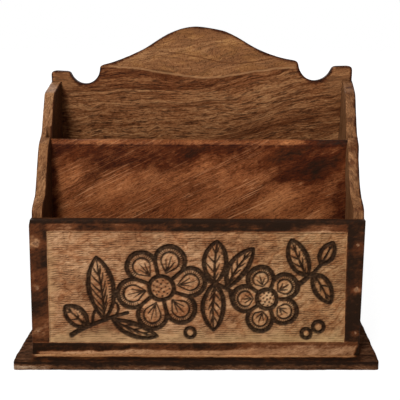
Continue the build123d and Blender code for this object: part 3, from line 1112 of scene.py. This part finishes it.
def tilted(degrees):
    """Along, across and through for an upright board whose grain climbs to the right by an angle."""
    turn = math.radians(degrees)
    along = X_AXIS * math.cos(turn) + Z_AXIS * math.sin(turn)
    return along, np.cross(Y_AXIS, -along), Y_AXIS


front_wood = wood(
    "front_wood_finish",
    tilted(12),
    heart=(-70.0, -40.0),
    lean=0.12,
    palette=FRONT_TONES,
    grain=Grain(ring=8.0, rings=0.3, fibres=0.35, specks=0.5, dashes=0.15, patches=0.9),
    figure=carved_colour,
)
dress(front_board, front_wood, "front_wood", "front_panel")


# The panel was sawn by eye: how far its edges stand out at the foot and at the top, in millimetres

RIGHT_FOOT = -1.0
RIGHT_TOP = 1.1
LEFT_FLARE = 0.85


def right_lean(z):
    """How far the panel's right edge, and the side board behind it, stand out at each height."""
    climb = np.clip((z - panel_low[2]) / (panel_high[2] - panel_low[2]), 0, 1)
    return RIGHT_FOOT + (RIGHT_TOP - RIGHT_FOOT) * climb


def flare(x, y, z):
    """The panel's right edge leans out from foot to top, and its left one stands out nearly all the way."""
    out = right_lean(z) * ramp(field_right - 1, panel_high[0] - 2, x)
    below_top = ramp(panel_high[2] + 0.5, panel_high[2] - 5, z)
    out -= LEFT_FLARE * below_top * ramp(field_left + 1, panel_low[0] + 2, x)
    return out, 0, 0


shift(front_board, flare)


# Back panel

# The CAD's own rounding of sawn edges
CAD_ARRIS = 0.8
EAR_EXTRA = 0.9
back_low, back_high = box_mm("back_panel")
back_face = Face((0, back_low[1], 0), X_AXIS, Z_AXIS, Y_AXIS)
back_outline = outline_at("back_panel", 1, back_low[1] + CAD_ARRIS, back_face)


def off_the_base(loop):
    """1 where an edge shows, 0 along the base board."""
    return ramp(back_low[2] + 0.5, back_low[2] + 3, loop[:, 1])


def thin_rounds(loop, normals):
    """Worn arrises where the edge shows, and crisp ones at the joint."""
    shows = off_the_base(loop)
    return 0.25 + 0.5 * shows, 0.25 + 0.5 * shows


back_board = board(
    "crested_back",
    back_face,
    back_outline,
    back_high[1] - back_low[1],
    off_the_base,
    thin_rounds,
    seed=30,
)


def wide_ear(x, y, z):
    """The right ear was sawn a little wider than the left one."""
    return EAR_EXTRA * ramp(100, 117, x) * ramp(180, 190, z), 0, 0


shift(back_board, wide_ear)


def edge_scorch(piece, face, outline, reach, seed):
    """The piece's points, how far each lies from the sawn edge, and the scorch along that edge."""
    points = points_mm(piece)
    rim = distance_to(face.flatten(points), filled_loop(outline, RIM_SPACING))
    flicker = noise(points, (7.0, 7.0, 7.0), seed) + 0.6 * noise(points, (23.0, 23.0, 23.0), seed + 1)
    line = ramp(1.5, 0.4, rim) * 0.85
    cloud = np.exp(-rim / (reach * (1 + 0.45 * flicker).clip(0.3, 2))) * 0.62
    return points, rim, np.maximum(line, cloud)


def back_scorch_and_painted_shadow(piece):
    """Scorched along the crest, less on the ears and at the foot, with a painted shadow in the front face's
    left corner, behind the left side board.
    """
    points, rim, scorch_and_painted_shade = edge_scorch(piece, back_face, back_outline, 2.6, 40)
    x, y, z = points.T
    above_base = ramp(back_low[2], back_low[2] + 6, z)
    on_ears = ramp(back_high[0] - 20, back_high[0] - 12, np.abs(x)) * ramp(1.2, 2.2, rim)
    scorch_and_painted_shade = scorch_and_painted_shade * (0.35 + 0.65 * above_base) * (1 - 0.9 * on_ears) - 0.12 * on_ears
    on_front = ramp(back_low[1] + 3, back_low[1] + 1, y)
    # Painted shadow in the front face's left corner, where the left side board shades it
    painted_corner_shadow = on_front * ramp(-98, -111, x) * ramp(199, 190, z)
    return np.maximum(scorch_and_painted_shade, 0.5 * painted_corner_shadow)


store(back_board, "scorch_and_painted_shade", back_scorch_and_painted_shadow(back_board))


def back_bend(u):
    """The back panel's grain runs level on the left and climbs to the right."""
    right = (u - 15.0) * 0.025
    return ((right * right + 1.0) ** 0.5 + right) * -4.6


def crest_figure(make, colour, u, v, level):
    """A reddish dark band that dips in the middle, with a pale, pored crest above it."""
    sway = (make.noise(u / 14, 2.0, v / 40) - 0.5) * 3.0
    upper = u.bell(4.0, 45) * -9.0 + 210.4 + sway
    rise_left = (-u).math("MAXIMUM", 0.0) * 0.045
    rise_right = u.math("MAXIMUM", 0.0) / 60
    lower = rise_left + rise_right * rise_right * 13.0 + 191.2 + sway
    band_share = (v - lower).ramp(-1.2, 1.6) * (upper - v).ramp(-0.3, 0.7) * abs(u).ramp(99, 88)
    crest = (v - upper).ramp(-0.2, 5.0)
    ears = abs(u).ramp(98, 106) * v.ramp(186, 196)
    colour = make.mix(crest * 0.45 + ears * 0.35, colour, srgb(130, 87, 54))
    colour = make.tint(crest * 0.8 + ears * 0.7, colour, (1.12, 1.18, 1.22))
    golden = make.noise(u / 16, v / 9, 8.0, detail=3.0, rough=0.6).ramp(0.45, 0.62)
    colour = make.tint(crest * golden, colour, (1.12, 1.14, 1.02))
    dashes = make.noise(u / 1.3, level * 0.95, 6.0, rough=0.6).ramp(0.53, 0.63)
    colour = make.tint(crest * dashes * 0.8, colour, (0.46, 0.34, 0.27))
    colour = make.tint(band_share * 0.85, colour, (0.74, 0.62, 0.55))
    seam = abs(v - upper).ramp(0.9, 0.1)
    colour = make.mix(seam * 0.5, colour, BACK_TONES[0])
    pale = abs(v - upper - 1.5).ramp(1.2, 0.2)
    colour = make.mix(pale * 0.45, colour, srgb(168, 124, 84))
    arc = u.bell(30.0, 38) * -9.6 + 224.0 + sway * 0.5
    drawn = abs(v - arc).ramp(0.8, 0.1) * u.ramp(-36, -28) * u.ramp(64, 54)
    return make.mix(drawn * 0.65, colour, BACK_TONES[0])


back_wood = wood(
    "back_wood_finish",
    tilted(0),
    heart=(330.0, -30.0),
    lean=0.04,
    palette=BACK_TONES,
    grain=Grain(ring=9.0, rings=0.75, fibres=1.2, specks=0.7, dashes=0.6, patches=0.5),
    figure=crest_figure,
    bend=back_bend,
)
dress(back_board, back_wood, "back_wood", "back_panel")


# Side boards

GROOVE_SLACK = 0.1
# How far the groove's cutter reaches past the board
CUTTER_OVERRUN = 1.0
# How much more scorched than the front edge its outer arris is
RIM_SHADE = 0.5
divider_low, divider_high = box_mm("divider")


def make_side(name, node, sign, seed, shade, inner_scorch_and_painted_shadow):
    """A side board: its front edge climbs in rounded steps, and its inner face has the divider's groove.

    shade is how scorched the front edge is all over. The last argument darkens the inner face: a little
    scorch on the right board, and mostly painted shadow on the left one."""
    low, high = box_mm(node)
    outer_x, inner_x = (low[0], high[0]) if sign < 0 else (high[0], low[0])
    face = Face((outer_x, 0, 0), Y_AXIS * sign, Z_AXIS, X_AXIS * -sign)
    chain = outline_at(node, 0, outer_x - sign * CAD_ARRIS, face)
    outline = np.vstack([chain, (sign * high[1], low[2])])

    def shows(loop):
        clear_of_base = ramp(low[2] + 0.5, low[2] + 3, loop[:, 1])
        clear_of_back = ramp(high[1] - 0.5, high[1] - 2, sign * loop[:, 0])
        above_panel = ramp(panel_high[2] + 0.5, panel_high[2] + 2, loop[:, 1])
        clear_of_front = np.where(sign * loop[:, 0] < low[1] + 0.2, above_panel, 1)
        return clear_of_base * clear_of_back * clear_of_front

    def rounds(loop, normals):
        return 0.2 + 0.65 * shows(loop), 0.2 + 0.55 * shows(loop)

    piece = board(name, face, outline, high[0] - low[0], shows, rounds, seed)
    groove_ends = sorted((sign * (divider_high[0] + GROOVE_SLACK), inner_x - sign * CUTTER_OVERRUN))
    cutter = block(
        "groove",
        (groove_ends[0], divider_low[1] - GROOVE_SLACK, low[2] - CUTTER_OVERRUN),
        (groove_ends[1], divider_high[1] + GROOVE_SLACK, high[2] + CUTTER_OVERRUN),
    )
    cut_away(piece, cutter)
    points, rim, scorch_and_painted_shade = edge_scorch(piece, face, outline, 3.4, seed + 10)
    x, y, z = points.T
    inset = abs(outer_x) - np.abs(x)
    arris = ramp(1.2, 0.3, inset)
    in_front = ramp(high[1] - 0.5, high[1] - 3, y)
    on_step = (rim < 0.9) * in_front * ramp(low[2] + 90, low[2] + 104, z)
    mottle = noise(points, (5.0, 5.0, 5.0), seed + 12)
    flecked = noise(points, (3.0, 3.0, 3.0), seed + 13)
    worn_step = shade + 0.28 * mottle + (RIM_SHADE + 0.3 * flecked) * arris
    scorch_and_painted_shade = np.where(on_step > 0.5, worn_step, scorch_and_painted_shade)
    # Darkens the inner face: painted shadow on the left board, a little scorch on the right one
    scorch_and_painted_shade = np.maximum(scorch_and_painted_shade, inner_scorch_and_painted_shadow * ramp(7.0, 7.6, inset))
    at_joints = np.maximum(ramp(14, 0, z - low[2]), ramp(12, 0, high[1] - y))
    at_joints = np.maximum(at_joints, ramp(9, 0, y - low[1])) * ramp(2.5, 0.5, inset)
    scorch_and_painted_shade = np.maximum(scorch_and_painted_shade, at_joints * (0.62 + 0.2 * mottle))
    store(piece, "scorch_and_painted_shade", np.clip(scorch_and_painted_shade, 0, 1.1))
    return piece


def side_figure(make, colour, u, v, level):
    """The left board is paler towards its top."""
    x, _, z = make.places()
    return make.tint(z.ramp(150, 172) * x.ramp(10, -10), colour, (1.2, 1.26, 1.34))


side_wood = wood(
    "side_wood_finish",
    (Z_AXIS, Y_AXIS, X_AXIS),
    heart=(-150.0, 30.0),
    lean=-0.03,
    palette=SIDE_TONES,
    grain=Grain(ring=7.0, rings=0.5, fibres=1.0, specks=0.45, dashes=0.2, patches=0.5),
    figure=side_figure,
)
# The left board's inner face is painted dark with the shadow it lies in
left_board = make_side("stepped_side_left", "left_side", -1, 50, shade=-0.04, inner_scorch_and_painted_shadow=0.78)
dress(left_board, side_wood, "side_wood", "left_side")
right_board = make_side("stepped_side_right", "right_side", 1, 70, shade=0.36, inner_scorch_and_painted_shadow=0.12)
dress(right_board, side_wood, "side_wood", "right_side")


def outward_lean(x, y, z):
    """The right side board leans out with the front panel, most at its top behind, with a slight hollow."""
    at_back = ramp(10, back_low[1], y)
    out = right_lean(z) + 1.6 * at_back * ramp(130, 199, z) - between(z, 132, 146, 16)
    return out, 0, 2.4 * at_back * ramp(150, 199, z)


shift(right_board, outward_lean)


# Divider

DIVIDER_ROUND = 3.4
divider_face = Face((0, divider_low[1], 0), X_AXIS, Z_AXIS, Y_AXIS)
divider_outline = rectangle(divider_low[[0, 2]], divider_high[[0, 2]])


def divider_shows(loop):
    """1 along the divider's top edge, clear of the side boards."""
    at_top = ramp(divider_high[2] - 0.4, divider_high[2] - 0.1, loop[:, 1])
    return at_top * ramp(divider_high[0], divider_high[0] - 4, np.abs(loop[:, 0]))


def divider_rounds(loop, normals):
    """A wide round on the top's front arris, a small one behind."""
    top = ramp(0.6, 0.95, normals[:, 1])
    return 0.2 + (DIVIDER_ROUND - 0.2) * top, 0.2 + 0.6 * top


middle_board = board(
    "middle_divider",
    divider_face,
    divider_outline,
    divider_high[1] - divider_low[1],
    divider_shows,
    divider_rounds,
    seed=90,
    wander=0.2,
)


def divider_burn(piece):
    """Dark patches above and to the right of a lighter middle, and dark ends."""
    points = points_mm(piece)
    x, _, z = points.T
    flat_points = points[:, [0, 2]]
    leaning = np.column_stack([x, z - 0.45 * x])
    clouds = noise(leaning, (34.0, 9.0), 96)
    upper = ramp(102, 148, z) * (0.52 + 0.24 * clouds + 0.1 * ramp(-60, 20, x))
    left = ramp(-40, -105, x) * ramp(116, 150, z) * 0.5
    fray = 5.0 * noise(leaning, (21.0, 5.0), 99)
    corner = spot(flat_points + fray[:, None], (84, 139), (42, 21)) * (0.84 + 0.18 * clouds)
    knot = spot(flat_points, (-25, 139), (10, 7)) * 0.72
    edge = ramp(divider_high[0] - 22, divider_high[0] - 6, x) * 0.55
    end = ramp(-99, -112, x) * 0.6
    scorch_and_painted_shade = np.maximum.reduce([upper, left, corner, knot, edge, end])
    on_round = ramp(155.2, 156.4, z)
    worn_round = 0.2 + 0.14 * noise(flat_points[:, :1], (26.0,), 98)
    scorch_and_painted_shade = scorch_and_painted_shade * (1 - on_round) + np.maximum(ramp(62, 96, x) * 0.8, worn_round) * on_round
    return np.clip(scorch_and_painted_shade + 0.06 * noise(flat_points, (8.0, 5.0), 97), 0, 1)


store(middle_board, "scorch_and_painted_shade", divider_burn(middle_board))


def brushed_streaks_and_painted_shadow(make, colour, u, v, level):
    """Fine pale scratches along the divider's grain, and a painted shadow line below its rounded edge."""
    x, y, z = make.places()
    thin = abs(make.noise(u / 90, v * 0.36, 4.0, detail=1.0) - 0.5).ramp(0.018, 0.0)
    seen = make.noise(u / 40, v / 12, 8.0, detail=1.0).ramp(0.38, 0.54)
    colour = make.mix(thin * seen * 0.6, colour, srgb(186, 130, 88))
    # A painted shadow line across the front face just below the rounded top edge; worn sets how strong it
    # is along the board
    sway = (make.noise(x / 18) - 0.5) * 1.6
    line = abs(z - (divider_high[2] - 3.9) - sway).ramp(1.0, 0.1)
    on_front = y.ramp(divider_low[1] + 1.5, divider_low[1] + 0.5)
    worn = make.noise(x / 30, 5.0, 1.0).ramp(0.3, 0.6) * 0.5 + 0.1
    return make.tint(line * on_front * worn, colour, (0.2, 0.12, 0.09))


divider_wood = wood(
    "divider_wood_finish",
    tilted(26),
    heart=(-90.0, 60.0),
    lean=0.0,
    palette=DIVIDER_TONES,
    grain=Grain(ring=11.0, rings=0.35, fibres=0.7, specks=0.6, dashes=0.08, patches=0.9),
    figure=brushed_streaks_and_painted_shadow,
)
dress(middle_board, divider_wood, "divider_wood", "divider")


# Base board

LEFT_END = 0.6
RIGHT_END = 0.3
FRONT_SKEW = 2.4
SINK_MOUTH = 3.15
SINK_END = 1.6
SINK_DEPTH = 2.1
SINK_SIDES = 40
SINK_OVERRUN = 0.5
base_low, base_high = box_mm("base_board")
base_face = Face((0, 0, base_high[2]), X_AXIS, Y_AXIS, -Z_AXIS)


def all_shows(loop):
    """Every edge of the base board shows."""
    return np.ones(len(loop))


def base_rounds(loop, normals):
    """A worn upper arris and a sharper lower one."""
    return np.full(len(loop), 1.0), np.full(len(loop), 0.7)


base_piece = board(
    "wide_base",
    base_face,
    rectangle(base_low[:2], base_high[:2]),
    base_high[2] - base_low[2],
    all_shows,
    base_rounds,
    seed=110,
    wander=0.2,
)


def make_sinks():
    """Cones that cut the countersinks of the screws, wide end below the base board."""
    spread = (SINK_MOUTH - SINK_END) / SINK_DEPTH * SINK_OVERRUN
    points, faces = [], []
    for middle in clusters("base_screws", axes=(0, 1)):
        first = len(points)
        for radius, level in ((SINK_MOUTH + spread, -SINK_OVERRUN), (SINK_END, SINK_DEPTH)):
            points += [(*(middle[:2] + radius * p), base_low[2] + level) for p in circle(SINK_SIDES)]
        low_ring = [first + i for i in range(SINK_SIDES)]
        high_ring = [i + SINK_SIDES for i in low_ring]
        faces += [low_ring[::-1], high_ring, *band(high_ring, low_ring)]
    return new_piece("sinks", points, faces, smooth=False)


cut_away(base_piece, make_sinks())


def by_eye(x, y, z):
    """The base board was sawn by eye: its ends are a little long, and its front runs out to the left."""
    out = RIGHT_END * ramp(120, 131, x) - LEFT_END * ramp(-120, -131, x)
    forward = -FRONT_SKEW * ramp(base_high[0], base_low[0] + 60, x) * ramp(-60, -64.5, y)
    return out, forward, 0


shift(base_piece, by_eye)


def base_scorch_and_painted_light(piece):
    """Scorched all round, with a pale strip left along the foot of the front panel, and painted light on
    the right end of the top, against the shade that falls there.
    """
    points = points_mm(piece)
    x, y, z = points.T
    patch = noise(points, (24.0, 9.0, 9.0), 120)
    fine = noise(points, (9.0, 3.0, 3.0), 121)
    streak = noise(points, (38.0, 38.0, 1.6), 122)
    top = ramp(base_high[2] - 1.1, base_high[2] - 0.4, z)
    near = panel_low[1] - 3.1 + 0.9 * fine + 1.1 * ramp(30, 80, x)
    strip = between(y, near, panel_low[1] + 2, 3.0)
    strip = strip * ramp(panel_low[0] - 1, panel_low[0] + 5, x) * ramp(119, 113, x)
    ends = ramp(113, 121, np.abs(x))
    # The last term is painted light: the right end of the top is made paler against the shade that falls on
    # it
    on_top = 0.96 + 0.1 * patch + 0.06 * fine - strip - 0.12 * ends - 0.14 * ramp(116, 124, x)
    in_box = between(y, panel_high[1] + 1, back_low[1] - 1, 2) * ramp(113, 110, np.abs(x))
    on_top = on_top * (1 - 0.7 * in_box)
    low_side = ramp(base_high[2] - 1.6, base_high[2] - 4.4, z + 0.3 * fine)
    golden = ramp(-98, -118, x)
    on_side = 1.02 - low_side * (0.32 + 0.1 * patch + 0.14 * streak + 0.42 * golden)
    under = ramp(0.5, 0.05, z - base_low[2])
    rim = np.minimum(base_high[0] - np.abs(x), base_high[1] - np.abs(y))
    below = 0.12 + 0.6 * np.exp(-rim / 7) + 0.1 * patch
    scorch_and_painted_shade = top * on_top + (1 - top) * on_side
    return np.clip(scorch_and_painted_shade * (1 - under) + below * under, 0, 1.1)


store(base_piece, "scorch_and_painted_shade", base_scorch_and_painted_light(base_piece))


def base_figure(make, colour, u, v, level):
    """Greyer edges and ends, and a top that is paler along the foot of the front panel."""
    x, y, z = make.places()
    on_edge = z.ramp(base_low[2] + 0.1, base_low[2] + 0.6) * z.ramp(base_high[2] - 1.4, base_high[2] - 2.6)
    colour = make.tint(on_edge, colour, (0.95, 1.3, 2.0))
    on_top = z.ramp(base_high[2] - 0.8, base_high[2] - 0.3)
    colour = make.tint(on_top * abs(x).ramp(117, 123), colour, (1.1, 1.6, 2.7))
    beside_panel = y.ramp(panel_low[1] - 3.4, panel_low[1] - 1.4) * x.ramp(100, 20)
    return make.tint(beside_panel * on_top, colour, (1.4, 1.42, 1.46))


base_wood = wood(
    "base_wood_finish",
    (X_AXIS, Y_AXIS, Z_AXIS),
    heart=(-170.0, -60.0),
    lean=0.03,
    palette=BASE_TONES,
    grain=Grain(ring=6.0, rings=0.5, fibres=0.8, specks=0.85, dashes=0.2, patches=0.5),
    figure=base_figure,
    gleam=0.0,
    char=srgb(28, 19, 14),
)
dress(base_piece, base_wood, "base_wood", "base_board")


# Filler over the nail heads: small smeared discs of putty

# Half widths of the front smears, across and up
SMEAR_SIZES = {
    (False, 0): (1.1, 1.1),
    (False, 1): (1.2, 1.7),
    (False, 2): (3.0, 1.4),
    (True, 0): (1.1, 0.9),
    (True, 1): (1.3, 2.3),
    (True, 2): (1.1, 1.0),
}
BACK_SMEAR = (2.3, 1.7)
# From the middle outwards: share of the half widths, and depth below the wood's face
SMEAR_RINGS = ((0.35, -0.09), (0.7, -0.07), (0.95, -0.02), (1.0, 0.12), (0.85, 0.9))
SMEAR_SIDES = 18


def make_smears(name, node, face, seed, sizes):
    """One smear for each plug of filler, a little proud of the wood. sizes holds the ones that differ."""
    rim = circle(SMEAR_SIDES)
    points, faces = [], []
    for index, middle in enumerate(clusters(node)):
        flat_middle = face.flatten(middle)
        halves = sizes.get(brad_place(middle), BACK_SMEAR)
        uneven = 1 + 0.32 * noise(rim + 5 * index, (0.8, 0.8), seed)
        start = len(points)
        points.append((*flat_middle, SMEAR_RINGS[0][1]))
        rings = []
        for share, depth in SMEAR_RINGS:
            rings.append(list(range(len(points), len(points) + SMEAR_SIDES)))
            points += [(*place, depth) for place in flat_middle + halves * rim * share * uneven[:, None]]
        end = len(points)
        points.append((*flat_middle, SMEAR_RINGS[-1][1]))
        faces += [[start, p, q] for p, q in neighbours(rings[0])]
        for before, after in zip(rings, rings[1:]):
            faces += band(before, after)
        faces += [[p, end, q] for p, q in neighbours(rings[-1])]
    return new_piece(name, face.place(points), faces)


def make_filler_finish():
    """Putty rubbed with soot, paler on the back of the rack."""
    make = Finish("filler_finish")
    x, y, z = make.places()
    blotch = make.noise(x * 0.7, z * 0.7, y * 0.7, detail=3.0, rough=0.6)
    stops = [(0.36, srgb(86, 56, 38)), (0.5, srgb(112, 78, 54)), (0.66, srgb(138, 102, 75))]
    colour = make.mix(y.ramp(-20, 20) * 0.6, make.colours(blotch, stops), srgb(190, 154, 118))
    grit = make.noise(x * 4.0, z * 4.0, y * 4.0)
    return make.surface(colour, 0.75 + grit * 0.15, grit, relief=0.04, Specular_IOR_Level=0.06)


filler_finish = make_filler_finish()
back_outside = Face((0, back_high[1], 0), -X_AXIS, Z_AXIS, -Y_AXIS)
front_smears = make_smears("front_nail_putty", "front_nail_filler", panel_face, 3, SMEAR_SIZES)
dress(front_smears, filler_finish, "filler", "front_nail_filler")
back_smears = make_smears("back_nail_putty", "back_nail_filler", back_outside, 8, {})
dress(back_smears, filler_finish, "filler", "back_nail_filler")


# Steel of the brads and screws


def make_steel(name, tone, dull):
    """Drawn wire or plated steel with faint rubbing."""
    make = Finish(name)
    x, y, z = make.places()
    rub = make.noise(x * 2.0, y * 0.6, z * 2.0, detail=3.0)
    colour = make.mix(rub.ramp(0.35, 0.7), (*(0.7 * c for c in tone[:3]), 1.0), tone)
    return make.surface(colour, 0.25 + dull * rub, rub, relief=0.02, Metallic=1.0)


nail_steel = make_steel("nail_steel_finish", srgb(176, 176, 180), 0.25)
screw_steel = make_steel("screw_steel_finish", srgb(196, 186, 150), 0.3)
for node, finish in (("front_nails", nail_steel), ("back_nails", nail_steel), ("base_screws", screw_steel)):
    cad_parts[node].data.materials.clear()
    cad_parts[node].data.materials.append(finish)


# Floor, light and camera

FLOOR_HALF = 6.0
FLOOR_DROP = 0.05
FLOOR_PALE = (0.82, 0.82, 0.82, 1.0)
FLOOR_GLOW = 1.12
# How much of the floor's look is its own white: the rest takes the object's shadow
WHITE_SHARE = 0.82
WHITE = (1.0, 1.0, 1.0, 1.0)
WORLD_STRENGTH = 0.3
LAMP_TARGET = Vector((0, 0, 0.1))
SENSOR_WIDTH = 36.0
CAMERA_PLACE = (0.0155, -0.7579, 0.2547)
CAMERA_PITCH = 10.793
CAMERA_ROLL = 0.234
LENS = 90.28
SHIFT = (-0.0466, 0.0085)


def floor_finish():
    """White to the camera, with the object's shadow, and plain pale to everything else."""
    make = Finish("floor_finish")
    seen = Number(make.tree, make.add("ShaderNodeLightPath").outputs["Is Camera Ray"])
    x, y, _ = make.places()
    far = ((x * x + y * y) ** 0.5).ramp(260, 900)
    share = seen * (far * (1 - WHITE_SHARE) + WHITE_SHARE)
    pale = make.add("ShaderNodeBsdfDiffuse", {"Color": FLOOR_PALE}).outputs[0]
    white = make.add("ShaderNodeEmission", {"Color": WHITE, "Strength": FLOOR_GLOW}).outputs[0]
    return make.end(make.add("ShaderNodeMixShader", {0: share, 1: pale, 2: white}).outputs[0])


floor_corners = rectangle((-FLOOR_HALF / MM, -FLOOR_HALF / MM), (FLOOR_HALF / MM, FLOOR_HALF / MM))
floor = new_piece("floor", with_depth(floor_corners, -FLOOR_DROP), [[0, 1, 2, 3]], smooth=False)
floor.data.materials.append(floor_finish())


def make_world():
    """Even pale light from all round, and a white background."""
    world = bpy.data.worlds.new("studio")
    bpy.context.scene.world = world
    world.use_nodes = True
    tree = world.node_tree
    tree.nodes.clear()
    path = tree.nodes.new("ShaderNodeLightPath").outputs
    bright = Number(tree, path["Is Camera Ray"]).math("MAXIMUM", path["Is Glossy Ray"])
    bright = bright.math("MAXIMUM", path["Is Transmission Ray"])
    background = tree.nodes.new("ShaderNodeBackground")
    background.inputs["Color"].default_value = WHITE
    plug(tree, background.inputs["Strength"], bright * (1.0 - WORLD_STRENGTH) + WORLD_STRENGTH)
    output = tree.nodes.new("ShaderNodeOutputWorld")
    tree.links.new(background.outputs[0], output.inputs["Surface"])


make_world()


def softbox(name, azimuth, elevation, distance, size, watts):
    """A square lamp that faces the object, azimuth degrees to the left of its front."""
    turn, lift = math.radians(azimuth), math.radians(elevation)
    away = Vector((-math.sin(turn) * math.cos(lift), -math.cos(turn) * math.cos(lift), math.sin(lift)))
    data = bpy.data.lights.new(name, "AREA")
    data.shape = "SQUARE"
    data.size = size
    data.energy = watts
    lamp = bpy.data.objects.new(name, data)
    lamp.location = LAMP_TARGET + away * distance
    lamp.rotation_euler = (-away).to_track_quat("-Z", "Y").to_euler()
    bpy.context.scene.collection.objects.link(lamp)


softbox("key", azimuth=19, elevation=40, distance=3.0, size=0.8, watts=84.0)
softbox("fill", azimuth=-55, elevation=25, distance=2.5, size=1.6, watts=6.0)
softbox("back", azimuth=160, elevation=35, distance=3.0, size=1.2, watts=26.0)

camera_data = bpy.data.cameras.new("camera")
camera_data.sensor_width = SENSOR_WIDTH
camera_data.lens = LENS
camera_data.shift_x, camera_data.shift_y = SHIFT
camera = bpy.data.objects.new("camera", camera_data)
camera.matrix_world = (
    Matrix.Translation(CAMERA_PLACE)
    @ Matrix.Rotation(math.radians(90 - CAMERA_PITCH), 4, "X")
    @ Matrix.Rotation(math.radians(CAMERA_ROLL), 4, "Z")
)
bpy.context.scene.collection.objects.link(camera)
bpy.context.scene.camera = camera
bpy.context.scene.view_settings.view_transform = "Standard"
